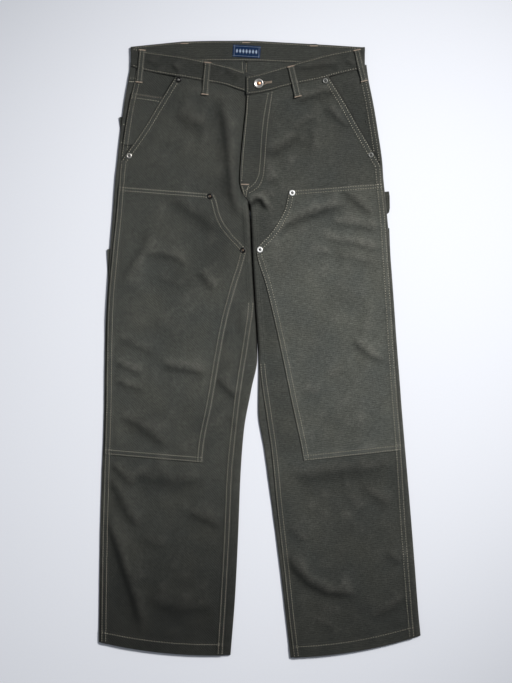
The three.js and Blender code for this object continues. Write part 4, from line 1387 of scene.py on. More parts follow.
def resampled(path: np.ndarray, pitch: float) -> tuple[np.ndarray, np.ndarray]:
    """Even places along a path and the directions there.

    Args:
        path: points as rows of x and y.
        pitch: spacing.

    Returns:
        The places and unit directions.
    """
    steps = np.linalg.norm(np.diff(path, axis=0), axis=1)
    walked = np.concatenate([[0], np.cumsum(steps)])
    count = max(1, int(walked[-1] / pitch))
    steps = (np.arange(count) + 0.5) * walked[-1] / count

    def place(way: np.ndarray) -> np.ndarray:
        """Points of the path after a way along it."""
        return path_of(np.interp(way, walked, path[:, 0]), np.interp(way, walked, path[:, 1]))

    direction = place(np.minimum(steps + 0.6, walked[-1])) - place(np.maximum(steps - 0.6, 0))
    return place(steps), direction / np.linalg.norm(direction, axis=1, keepdims=True)


@dataclass
class Sewing:
    """All stitches, gathered thread by thread and made into one mesh each."""

    pitch: float = 4.45
    hole_shade_size: float = 0.95
    length: float = 1.45
    width: float = 1.1
    height: float = 0.75
    under_height: float = 0.4
    sunk: float = 0.14
    under_sunk: float = 0.05
    feel: float = 0.9
    steepest: float = 0.8
    tack_pitch: float = 0.75
    tack_lean: float = 0.28
    runs: dict[Thread, list[tuple[np.ndarray, np.ndarray, np.ndarray]]] = field(default_factory=dict)
    random: np.random.Generator = field(default_factory=partial(np.random.default_rng, 77))

    def seam(
        self,
        path: Sequence[tuple[float, float]] | np.ndarray,
        height: Height,
        thread: Thread = Thread.TAN,
        side: int = 1,
        pitch: float | None = None,
        length: float | None = None,
        width: float | None = None,
    ) -> None:
        """Sews one line of stitches along a path.

        Args:
            path: points as rows of x and y.
            height: top of the cloth there.
            thread: the thread.
            side: 1 on a face that looks up and -1 on one that looks down.
            pitch: spacing of the stitches.
            length: length of each.
            width: width of each.
        """
        places, directions = resampled(np.asarray(path, dtype=float), pitch or self.pitch)
        count = len(places)
        half = (length or self.length) / 2 * (1 + 0.07 * self.random.standard_normal(count))
        angle = 0.05 * self.random.standard_normal(count)
        turned = np.stack([
            directions[:, 0] * np.cos(angle) - directions[:, 1] * np.sin(angle),
            directions[:, 0] * np.sin(angle) + directions[:, 1] * np.cos(angle),
        ], axis=1)
        aside = path_of(-turned[:, 1], turned[:, 0])
        places = places + 0.1 * self.random.standard_normal((count, 1)) * aside
        ahead, behind = places + turned * self.feel, places - turned * self.feel
        level = height(places[:, 0], places[:, 1])
        slope = (height(*ahead.T) - height(*behind.T)) / (2 * self.feel)
        centre = np.column_stack([places, level + (self.sunk if side > 0 else -self.under_sunk)])
        along = np.column_stack([turned, np.clip(slope, -self.steepest, self.steepest)])
        along /= np.linalg.norm(along, axis=1, keepdims=True)
        thick = self.height / 2 if side > 0 else self.under_height / 2
        sizes = np.column_stack([half, np.full(count, (width or self.width) / 2), np.full(count, thick)])
        self.runs.setdefault(thread, []).append((centre, along, sizes))
        # painted shade: a near-black flat disc between each two stitches stands for the shadow in the needle
        # holes
        if side > 0 and length is None:
            between = (places[1:] + places[:-1]) / 2
            middle = np.column_stack([between, height(between[:, 0], between[:, 1]) + 0.03])
            flat = np.tile([self.hole_shade_size, self.hole_shade_size * 0.7, 0.16], (count - 1, 1))
            self.runs.setdefault(Thread.HOLE_SHADE, []).append((middle, along[:-1], flat))

    def tack(
        self,
        centre: tuple[float, float],
        direction: tuple[float, float],
        length: float,
        height: Height,
        side: int = 1,
        thread: Thread = Thread.TACK,
    ) -> None:
        """Sews a bar-tack: close zigzag stitches across a short bar.

        Args:
            centre: middle of the bar.
            direction: the bar's direction.
            length: its length.
            height: top of the cloth there.
            side: 1 on a face that looks up and -1 on one that looks down.
            thread: the thread.
        """
        run = np.array(direction, dtype=float) / math.hypot(*direction)
        square = np.array([-run[1], run[0]])
        count = max(4, int(length / self.tack_pitch))
        steps = np.linspace(-length / 2, length / 2, count)
        zigzag = np.where(np.arange(count) % 2 == 0, 1.0, -1.0)[:, None]
        places = np.array(centre) + steps[:, None] * run
        along = square + self.tack_lean * zigzag * run
        along /= np.linalg.norm(along, axis=1, keepdims=True)
        level = height(np.full(count, centre[0]), np.full(count, centre[1]))
        centres = np.column_stack([places, level + side * 0.3])
        directions = np.column_stack([along, np.zeros(count)])
        sizes = np.tile([1.2, 0.45, 0.42 if side > 0 else 0.24], (count, 1))
        self.runs.setdefault(thread, []).append((centres, directions, sizes))

    def make(self, finishes: dict[Thread, bpy.types.Material]) -> None:
        """Makes each thread's stitches as one joined mesh.

        Args:
            finishes: the material of each thread.
        """
        bead = bmesh.new()
        bmesh.ops.create_icosphere(bead, subdivisions=1, radius=1.0)
        ball = np.array([vertex.co[:] for vertex in bead.verts])
        faces = np.array([[vertex.index for vertex in face.verts] for face in bead.faces])
        bead.free()
        ball = np.sign(ball) * np.abs(ball) ** 0.85
        for thread, runs in self.runs.items():
            centre, along, sizes = (np.concatenate(parts) for parts in zip(*runs))
            across = np.cross([0.0, 0.0, 1.0], along)
            across /= np.linalg.norm(across, axis=1, keepdims=True)
            upward = np.cross(along, across)
            shape = ball[None] * sizes[:, None]
            points = centre[:, None] + shape[..., :1] * along[:, None] + shape[..., 1:2] * across[:, None]
            points += shape[..., 2:] * upward[:, None]
            triangles = (faces[None] + len(ball) * np.arange(len(centre))[:, None, None]).reshape(-1, 3)
            mesh = bpy.data.meshes.new(thread.value)
            mesh.from_pydata(to_frame(points), [], triangles.tolist())
            mesh.update()
            finish_piece(add_object(thread.value, mesh), finishes[thread], "duck")


@dataclass(frozen=True)
class Cut:
    """Cloth piece's flat cut in metres: width, length and area, and what it lies on."""

    width: float
    length: float
    area: float
    rests_on: tuple[str, ...] = ()

    def declare(self, piece: bpy.types.Object, held: str = "laid") -> None:
        """Takes the piece and does nothing with it.

        Args:
            piece: the piece; not used.
        """


# Brightness by height: partly the cloth's fading, partly painted light fall-off darker towards the hems
FADE_AND_FALLOFF = curve([
    (-560, 0.53), (-480, 0.59), (-360, 0.76), (-236, 0.84), (-140, 0.98), (0, 1.03), (250, 1.0), (330, 0.98),
    (450, 0.90), (560, 0.86),
])


class Tone(NamedTuple):
    """Soft paler or darker patch: its middle, its reach each way and how much paler."""

    x: float
    y: float
    wide: float
    tall: float
    paler: float


# Soft paler and darker tone spots; the darkening over the fly is painted shade
TONE_AND_SHADE_SPOTS = (
    Tone(2, 358, 18, 60, -0.24),
    Tone(53, -209, 40, 30, 0.30),
    Tone(-199, -128, 32, 26, -0.20),
    Tone(-145, 124, 40, 30, -0.19),
    Tone(53, 160, 24, 30, -0.15),
    Tone(-64, -56, 30, 60, -0.10),
    Tone(-52, 241, 22, 30, 0.14),
    Tone(35, 214, 25, 22, 0.10),
    Tone(-235, -236, 30, 30, -0.10),
    Tone(-235, 205, 30, 80, 0.11),
)


def wash_over(x: np.ndarray, y: np.ndarray) -> np.ndarray:
    """How bright the garment is: paler on thighs and knees and darker below them, partly the cloth's fading
    and partly painted light fall-off, painted sheen and painted shade.

    Args:
        x: x of the points.
        y: y of the points.

    Returns:
        The brightness, about 1.
    """
    # painted light: fall-off by height, and painted sheen that makes the left leg paler than the right
    fade = FADE_AND_FALLOFF(y) * mix(0.96, 1.04, ease((x + 150) / 260))
    # painted shade on the right leg's inner thigh near the crotch
    inner_thigh_shade = 0.25 * np.exp(-(((x + 72) / 42) ** 2)) * ease((y - 100) / 70) * (1 - ease((y - 290) / 60))
    right_hem = 0.33 * (1 - ease((x + 40) / 60)) * (1 - ease((y + 480) / 260))
    left_shin = 0.12 * np.exp(-(((x - 70) / 50) ** 2) - ((y + 300) / 85) ** 2)
    for tone in TONE_AND_SHADE_SPOTS:
        near = np.exp(-(((x - tone.x) / tone.wide) ** 2) - ((y - tone.y) / tone.tall) ** 2)
        fade = fade * (1 + tone.paler * near)
    return fade * (1 - inner_thigh_shade - right_hem + left_shin) * (1 + 0.06 * SWELL(x * 0.7 + 900, y * 0.7))


def rub_and_ridge_light_of(points: np.ndarray, inside: np.ndarray, amount: float = 0.55) -> np.ndarray:
    """Worn cloth at turned edges, and ridges lightened by how far they stand over what is round them: partly
    worn, partly painted highlight.

    Args:
        points: the sheet's points.
        inside: distance inside its nearest turned edge.
        amount: how rubbed the very edge is.

    Returns:
        Worn edges and painted ridge highlight, from 0 to 1 at each point.
    """
    edge = amount * np.exp(-((inside / 1.4) ** 2))
    z = points[:, :, 2]
    padded = np.pad(z, 4, mode="edge")
    around = (padded[8:, 4:-4] + padded[:-8, 4:-4] + padded[4:-4, 8:] + padded[4:-4, :-8]) / 4
    ridge_light = np.clip((z - around) * 0.45, 0, 0.4)
    return np.clip(edge + ridge_light, 0, 1)


@dataclass
class LegPieces:
    """Front panel, knee patch, back panel, yoke and pocket facing of one leg."""

    leg: Leg
    duck: bpy.types.Material
    gap_shade_finish: bpy.types.Material
    front_cut: Cut
    patch_cut: Cut
    back_cut: Cut
    yoke_cut: Cut
    facing_cut: Cut

    def build(self) -> None:
        """Makes the leg's five pieces."""
        self.front_panel()
        self.knee_patch()
        self.pocket_facing()
        self.back_panel()
        self.back_yoke()

    def front_panel(self) -> None:
        """Front panel from the hem to under the waistband."""
        leg = self.leg
        side = leg.side
        rows = Rows(leg, [
            ("hem_top", np.array(HEM_STEPS[1:12]) / 20),
            ("patch_bottom", shares(330, CELL + 0.3, (0, 0.6, 1.6, 3.2))),
            ("patch_point", shares(377, CELL + 0.3)),
            ("patch_top", shares(98, CELL)),
            ("waist", shares(190, CELL - 0.2, (0,), (0, 2, 4))),
            ("under_band", np.array([0.4, 1.0])),
        ], "hem")
        outer = rows.meet(leg.front_outer)
        inner = rows.meet(leg.inseam)
        offsets = spaced(205, CELL, EDGE_STEPS)
        x = columns_between(outer, inner, offsets, len(EDGE_STEPS))
        y = rows(x)
        points = np.stack([x, y, leg.front(x, y)], axis=-1)
        inside = np.minimum(np.abs(x - outer[:, None]), np.abs(x - inner[:, None]))
        inside = np.minimum(inside, y - leg.lines["hem"](x))
        piece = cloth_piece(
            f"front_panel_{side}_cloth", points, CLOTH, leg.grain, wash_over(x, y) * leg.shade(x, y),
            rub_and_ridge_light_of(points, inside),
        )
        finish_piece(piece, self.duck, "duck", f"front_panel_{side}")
        shade_gaps(piece, self.gap_shade_finish)
        self.front_cut.declare(piece)

    def knee_patch(self) -> None:
        """Knee patch sewn over the front panel."""
        leg = self.leg
        side = leg.side
        rows = Rows(leg, [
            ("patch_point", shares(377, CELL, EDGE_STEPS, (0,))),
            ("patch_top", shares(98, CELL, (0,), EDGE_STEPS)),
        ], "patch_bottom")
        outer = rows.meet(leg.outseam)
        edge = rows.meet(leg.patch_edge)
        offsets = spaced(180, CELL, EDGE_STEPS)
        x = columns_between(outer, edge, offsets, len(EDGE_STEPS))
        y = rows(x)
        points = np.stack([x, y, leg.knee(x, y)], axis=-1)
        inside = np.minimum(leg.patch_inside(x, y), np.abs(x - outer[:, None]))
        # paler knee patches: partly paler cloth, partly painted sheen from the weave's angle to the light
        if side == "right":
            knee = mix(1.05, 1.18, ease((200 - y) / 160)) * (1 - 0.13 * ease((-50 - y) / 120))
        else:
            knee = mix(1.24, 1.50, ease((262 - y) / 60))
        wash = wash_over(x, y) * leg.shade(x, y) * knee
        piece = cloth_piece(
            f"knee_patch_{side}_cloth", points, PATCH_CLOTH, leg.grain + 0.03, wash, rub_and_ridge_light_of(points, inside),
        )
        finish_piece(piece, self.duck, "duck", f"knee_patch_{side}")
        self.patch_cut.declare(piece)

    def pocket_facing(self) -> None:
        """Facing seen inside the slash pocket."""
        leg = self.leg
        side = leg.side
        bottom = leg.facing_bottom
        leg.lines["facing_bottom"] = bottom
        rows = Rows(leg, [
            ("waist", shares(150, CELL)),
            ("under_band", np.array([0.5, 1.0])),
        ], "facing_bottom")
        outer = rows.meet(leg.outseam)
        slash = rows.meet(leg.slash)
        under = slash - leg.outward * 14
        offsets = spaced(60, CELL, EDGE_STEPS, (0, 2))
        share = offsets / offsets[-1]
        width = np.abs(under - outer)[:, None]
        even = width * share
        fine = np.minimum(offsets, np.where(offsets <= EDGE_STEPS[-1], even * 1.6, even))
        walked = np.where(width > 45, mix(fine, even, ease((offsets - 12) / 20)), even)
        x = outer[:, None] - leg.outward * walked
        y = rows(x)
        points = np.stack([x, y, leg.facing(x, y)], axis=-1)
        inside = np.abs(x - outer[:, None])
        # painted shadow of the slash edge on the facing beside it
        beside = np.maximum(leg.outward * (x - leg.slash(y)), 0)
        wash = wash_over(x, y) * 0.86 * (1 - 0.55 * np.exp(-((beside / 2.4) ** 2)))
        wear = rub_and_ridge_light_of(points, inside, 0.4)
        piece = cloth_piece(f"pocket_facing_{side}_cloth", points, 1.0, leg.grain, wash, wear)
        finish_piece(piece, self.duck, "duck", f"pocket_facing_{side}")
        self.facing_cut.declare(piece)

    def wrapped(self, rows: Rows, cells: int) -> tuple[np.ndarray, np.ndarray]:
        """Outer face of the back: strip, inner fold, flat underside, side fold and strip.

        Args:
            rows: the crossing rows.
            cells: how many columns the flat underside has.

        Returns:
            The points, and the distance of each from the nearest fold.
        """
        leg = self.leg
        out = leg.outward
        outer_x = rows.meet(leg.outer)
        inner_x = rows.meet(leg.inner)
        outer_y, inner_y = rows.level(outer_x), rows.level(inner_x)
        turned = 1 - ease((inner_y - 216) / (CROTCH_Y - 216))
        centre = ease((inner_y - leg.centre_from) / 20)
        inner_x = mix(inner_x, leg.centre_back, centre)
        inner_y = rows.level(inner_x)
        cuts = np.concatenate([np.linspace(0, 0.42, 9), np.linspace(0.42, 1, 9)[1:]])

        def fold(
            edge_x: np.ndarray, edge_y: np.ndarray, seam_x: np.ndarray, turn: np.ndarray, way: int,
        ) -> np.ndarray:
            """Lays a fold and its strip, from the flat underside on.

            Args:
                edge_x: x of the fold's edge for each row.
                edge_y: y of it.
                seam_x: x of the seam at which the strip ends.
                turn: how far the cloth is turned over, from 0 to 1.
                way: 1 for the side fold and -1 for the inner.

            Returns:
                The points.
            """
            high = (leg.fold_height(edge_y) - (leg.split_drop(edge_y) * 1.3 if way < 0 else 0)) / 2
            high = np.maximum(high, CLOTH / 2 + 0.03)
            reach = FOLD_REACH * np.minimum(1, 1.2 * turn + 1e-6)
            start = edge_x - way * out * reach
            strip = np.abs(start - seam_x) + SEAM_UNDERLAP
            arc = math.pi * FOLD_REACH
            length = (arc + strip) * turn
            back = 14 * (1 - turn)
            strip_share = (cuts - cuts[8]) / (1 - cuts[8])
            turned_arc = np.minimum(arc, length)
            on_arc = mix(-back[:, None], turned_arc[:, None], cuts / cuts[8])
            on_strip = turned_arc[:, None] + strip_share * (length - turned_arc)[:, None]
            step = np.where(cuts <= cuts[8], on_arc, on_strip)
            angle = np.clip(step / FOLD_REACH, 0, math.pi)
            flat = np.where(step < 0, step, np.minimum(0, arc - step))
            x = start[:, None] + way * out * (reach[:, None] * np.sin(angle) + flat)
            z = high[:, None] * (1 - np.cos(angle))
            past = np.maximum(step - arc, 0)
            z = z + 0.25 * WAVE(x * 1.6, edge_y[:, None] * 1.6) * np.sin(angle) * 0.8
            z = z + 0.22 * ALONG_SEAM(x + 70, edge_y[:, None]) * ease(past / 2) * turn[:, None]
            z = z - 0.55 * ease((past - strip[:, None] + SEAM_UNDERLAP + 1.6) / 1.8) * (past > 0)
            y = rows(x)
            y = np.where(step > arc, np.minimum(y, leg.lines["waist"](x) + 8), y)
            return np.stack([x, y, lift_at(y) + np.maximum(z, 0)], axis=-1)

        side = fold(outer_x, outer_y, leg.outseam(outer_y), np.ones(len(outer_x)), 1)
        inner = fold(inner_x, inner_y, leg.inseam(inner_y), turned, -1)[:, ::-1]
        first, last = inner[:, -1], side[:, 0]
        share = (np.arange(1, cells) / cells)[None, :]
        x = mix(first[:, :1], last[:, :1], share)
        y = rows(x)
        under = np.stack([x, y, lift_at(y)], axis=-1)
        points = np.concatenate([inner, under, side], axis=1)
        inside = np.minimum(
            np.abs(points[..., 0] - outer_x[:, None]), np.abs(points[..., 0] - inner_x[:, None]),
        )
        return points, inside

    def back_panel(self) -> None:
        """Back panel, wrapped round both folds and under the front panel's edges."""
        leg = self.leg
        rows = Rows(leg, [
            ("hem_top", np.array(HEM_STEPS[1:12]) / 20),
            ("patch_bottom", shares(330, 4)),
            ("patch_point", shares(377, 4)),
            ("patch_top", shares(98, 3.5)),
            ("yoke_seam", shares(180, 4, (0,), (0, 0.4, 1, 2))),
        ], "hem")
        points, inside = self.wrapped(rows, 34)
        x, y = points[..., 0], points[..., 1]
        hem_inside = np.maximum(y - leg.lines["hem"](x), 0)
        points[..., 2] += np.where(points[..., 2] > lift_at(y) + 1.5, HEM.relief(hem_inside), 0)
        wash = wash_over(x, y) * 0.98 * leg.shade(x, y)
        piece = cloth_piece(
            f"back_panel_{leg.side}_cloth", points, CLOTH, leg.grain, wash, rub_and_ridge_light_of(points, inside, 0.4),
            True,
        )
        finish_piece(piece, self.duck, "duck", f"back_panel_{leg.side}")
        shade_gaps(piece, self.gap_shade_finish)
        self.back_cut.declare(piece)

    def back_yoke(self) -> None:
        """Back yoke, from its seam to under the waistband."""
        leg = self.leg
        leg.lines["yoke_edge"] = raised(leg.lines["yoke_seam"], 0.3)
        rows = Rows(leg, [
            ("back_waist", shares(60, 3.5, (0, 0.3, 0.8, 1.6, 2.6, 5, 8.2, 9, 10))),
        ], "yoke_edge")
        points, inside = self.wrapped(rows, 44)
        x, y = points[..., 0], points[..., 1]
        above = np.maximum(y - leg.lines["yoke_edge"](x), 0)
        points[..., 2] += np.where(points[..., 2] > lift_at(y) + 1.5, 0.6 * SEAM.relief(above), 0)
        piece = cloth_piece(
            f"back_yoke_{leg.side}_cloth", points, CLOTH, leg.grain, wash_over(x, y),
            rub_and_ridge_light_of(points, inside, 0.4), True,
        )
        finish_piece(piece, self.duck, "duck", f"back_yoke_{leg.side}")
        self.yoke_cut.declare(piece)


@dataclass
class CoinPocket:
    """Small pocket on the right facing, open at its topstitched edge."""

    leg: Leg
    duck: bpy.types.Material
    cut: Cut
    thickness: float = 1.1

    def top_line(self, x: np.ndarray) -> np.ndarray:
        """Top edge of the pocket."""
        return mix(460.8, 453.2, (x + 231) / 55)

    def height(self, x: np.ndarray, y: np.ndarray) -> np.ndarray:
        """Top of the pocket's cloth.

        Args:
            x: x of the points.
            y: y of the points.

        Returns:
            The heights.
        """
        below = np.maximum(self.top_line(x) - y, 0)
        gape = 0.5 * np.exp(-((below / 5) ** 2))
        hem = TurnedEdge(grooves=(2.2, 8.4)).relief(below) * 0.7
        return self.leg.facing(x, y) + self.thickness + 0.25 + gape + hem

    def top(self, x: np.ndarray, y: np.ndarray) -> np.ndarray:
        """Top of the pocket, and of the facing above it."""
        return np.where(y < self.top_line(x), self.height(x, y), self.leg.facing(x, y))

    def build(self) -> None:
        """Makes the pocket from the facing's seam to under the front panel."""
        leg = self.leg
        leg.lines["coin_bottom"] = bowed(0, 366, 1, 366)
        leg.lines["coin_top"] = self.top_line
        near_top = (0, 0.2, 0.5, 1, 1.6, 2.2, 3, 5, 7.4, 8.4, 9.4, 11)
        rows = Rows(leg, [("coin_top", shares(90, CELL, (0,), near_top))], "coin_bottom")
        outer = rows.meet(leg.outseam) + 0.4
        under = rows.meet(leg.slash) + 10
        x = mix(outer[:, None], under[:, None], np.linspace(0, 1, 22)[None])
        y = rows(x)
        points = np.stack([x, y, self.height(x, y)], axis=-1)
        inside = np.maximum(self.top_line(x) - y, 0)
        piece = cloth_piece(
            "coin_pocket_cloth", points, self.thickness, leg.grain, wash_over(x, y), rub_and_ridge_light_of(points, inside),
        )
        finish_piece(piece, self.duck, "duck", "coin_pocket")
        self.cut.declare(piece)


@dataclass
class Waistband:
    """One strip from the right front end, round the back, to the lapped left front end."""

    duck: bpy.types.Material
    cut: Cut
    cloth: float = 2.1
    front_level: float = 7.0
    back_level: float = 1.3
    steps: tuple[float, ...] = (0, 0.12, 0.35, 0.8, 1.4, 2.2, 3.0, 3.8, 5, 7)

    def __post_init__(self) -> None:
        """Draws the band's edges as curves along x."""
        tables = {"right": BAND_FRONT_RIGHT, "left": BAND_FRONT_LEFT, "back": BAND_BACK}
        self.tops = {key: curve([(row.x, row.top) for row in rows]) for key, rows in tables.items()}
        self.bottoms = {key: curve([(row.x, row.bottom) for row in rows]) for key, rows in tables.items()}
        self.rises = {key: curve([(row.x, row.rise) for row in rows]) for key, rows in tables.items()}

    def swell(self, side: str, x: np.ndarray, y: np.ndarray) -> np.ndarray:
        """How far the band's outer face is raised at a place.

        Args:
            side: right, left or back.
            x: x of the points.
            y: y of the points.

        Returns:
            The height added there.
        """
        if side == "back":
            return 0 * x
        bulge = sum(0.9 * np.exp(-(((x - at) / 15) ** 2)) for at in (-149.5, 120.4))
        crease = crease_fields(BAND_FOLDS, x, y)[0]
        return self.rises[side](x) + bulge + crease + 0.28 * WAVE(x, y * 0.6) + 0.08 * CRINKLE(x, y)

    def edge_relief(self, inside: np.ndarray, x: np.ndarray, y: np.ndarray) -> np.ndarray:
        """Roundness, stitch lines and puckers near an edge of the band."""
        return BAND_EDGE.relief(inside) + 0.7 * BAND_EDGE.puckers(ACROSS_SEAM(x, y), inside)

    def top_of(self, side: str) -> Height:
        """Top of the front band on one side.

        Args:
            side: right or left.

        Returns:
            Its height as a function of x and y.
        """
        def evaluate(x: np.ndarray, y: np.ndarray) -> np.ndarray:
            """Height of the band's outer face."""
            inside = np.maximum(np.minimum(self.tops[side](x) - y, y - self.bottoms[side](x)), 0)
            return self.front_level + self.swell(side, x, y) + self.edge_relief(inside, x, y)

        return evaluate

    def inner_of_back(self, x: np.ndarray, y: np.ndarray) -> np.ndarray:
        """Inner face of the band's back part, which shows above the front band."""
        return self.back_level + self.cloth + 0 * x

    def build(self) -> None:
        """Makes the band as one sheet with a thickness."""
        across = spaced(36, 2.6, self.steps)
        share = across / across[-1]
        right_x = -12.2 - spaced(219.2, 3.0, (0, 0.12, 0.35, 0.8, 1.4, 2.4, 4), (0,))
        back_x = -231.4 + spaced(416.1, 4.0, (0,))
        left_x = 184.7 - spaced(211.3, 3.0, (0,), (0, 0.12, 0.35, 0.8, 1.4, 2.2, 3.0, 4))
        strips = []

        def flat(side: str, x: np.ndarray, face: int, level: float, end: float | None) -> None:
            """Adds the sections of one flat stretch.

            Args:
                side: right, left or back.
                x: where the sections are.
                face: 1 where the outer face looks up and -1 where it looks down.
                level: height of the outer face.
                end: x of the stretch's free end, if it has one.
            """
            low, high = self.bottoms[side](x)[:, None], self.tops[side](x)[:, None]
            y = mix(low, high, share[None])
            xx = x[:, None] + 0 * y
            inside = np.minimum(share, 1 - share)[None] * (high - low)
            if end is not None:
                inside = np.minimum(inside, np.abs(xx - end))
            edges = self.edge_relief(inside, xx, y) * (0.4 if face < 0 else 1)
            z = level + face * (self.swell(side, xx, y) + edges)
            strips.append(np.stack([xx, y, z], axis=-1))

        def turn(side_from: str, side_to: str, x: float, way: int, upward: bool) -> None:
            """Adds the round turn at one side of the waist.

            Args:
                side_from: stretch before the turn.
                side_to: stretch after it.
                x: where it turns.
                way: 1 where it bulges to the left leg's side and -1 to the right's.
                upward: whether it comes up from the back.
            """
            middle = (self.front_level + self.back_level) / 2
            half = (self.front_level - self.back_level) / 2
            for k in range(1, 8):
                t = k / 8
                angle = t * math.pi
                low = mix(self.bottoms[side_from](x), self.bottoms[side_to](x), t)
                high = mix(self.tops[side_from](x), self.tops[side_to](x), t)
                y = mix(low, high, share)
                inside = np.minimum(share, 1 - share) * (high - low)
                relief = BAND_EDGE.relief(inside)
                reach = half + relief
                rise = -math.cos(angle) if upward else math.cos(angle)
                section = [x + way * reach * math.sin(angle), y, middle + reach * rise]
                strips.append(np.stack(section, axis=-1)[None])

        flat("right", right_x, 1, self.front_level, -12.2)
        turn("right", "back", -231.4, -1, False)
        flat("back", back_x, -1, self.back_level, None)
        turn("back", "left", 184.7, 1, True)
        flat("left", left_x, 1, self.front_level, -26.6)
        points = np.concatenate(strips, axis=0)
        points[:, :, 2] = np.maximum(points[:, :, 2], self.back_level - 0.05)
        inside = np.minimum(share, 1 - share)[None] * 36 + 0 * points[..., 0]
        outside = ease((points[..., 2] - 3) / 2)
        wash = wash_over(points[..., 0], points[..., 1]) * mix(0.88, 0.74, outside)
        # painted shade in the band's creases, on its outer face
        wash *= 1 - crease_fields(BAND_FOLDS, points[..., 0], points[..., 1])[1] * outside
        wear = rub_and_ridge_light_of(points, inside, 0.5)
        piece = cloth_piece("waistband_cloth", points, self.cloth, 0.0, wash, wear, True)
        finish_piece(piece, self.duck, "duck", "waistband")
        self.cut.declare(piece, "folded")


BAND_FOLDS = (
    Fold(((60, 502), (100, 507), (146, 512)), 4, 0.34),
    Fold(((-162, 514), (-154, 504), (-146, 496)), 3.5, 0.40),
    Fold(((-66, 504), (-52, 494), (-38, 488)), 5, 0.20),
    Fold(((-208, 522), (-196, 514), (-182, 512)), 5, 0.16),
    Fold(((150, 520), (162, 512), (172, 508)), 4, 0.24),
)


class LoopRow(NamedTuple):
    """Front belt loop: its node, its ends and its width."""

    name: str
    top: tuple[float, float]
    bottom: tuple[float, float]
    width: float


FRONT_LOOPS = (
    LoopRow("belt_loop_side_right", (-212.6, 538.8), (-218.6, 478), 10.8),
    LoopRow("belt_loop_front_right", (-95.3, 516.4), (-100.6, 456), 11.6),
    LoopRow("belt_loop_front_left", (53.8, 509.4), (67.4, 452), 11.4),
    LoopRow("belt_loop_side_left", (172.4, 538.8), (186.2, 480), 10.6),
)
BACK_LOOPS = (
    ("belt_loop_back_right", -137.6, 554.6),
    ("belt_loop_back_centre", -26.6, 556.2),
    ("belt_loop_back_left", 95.3, 550.4),
)


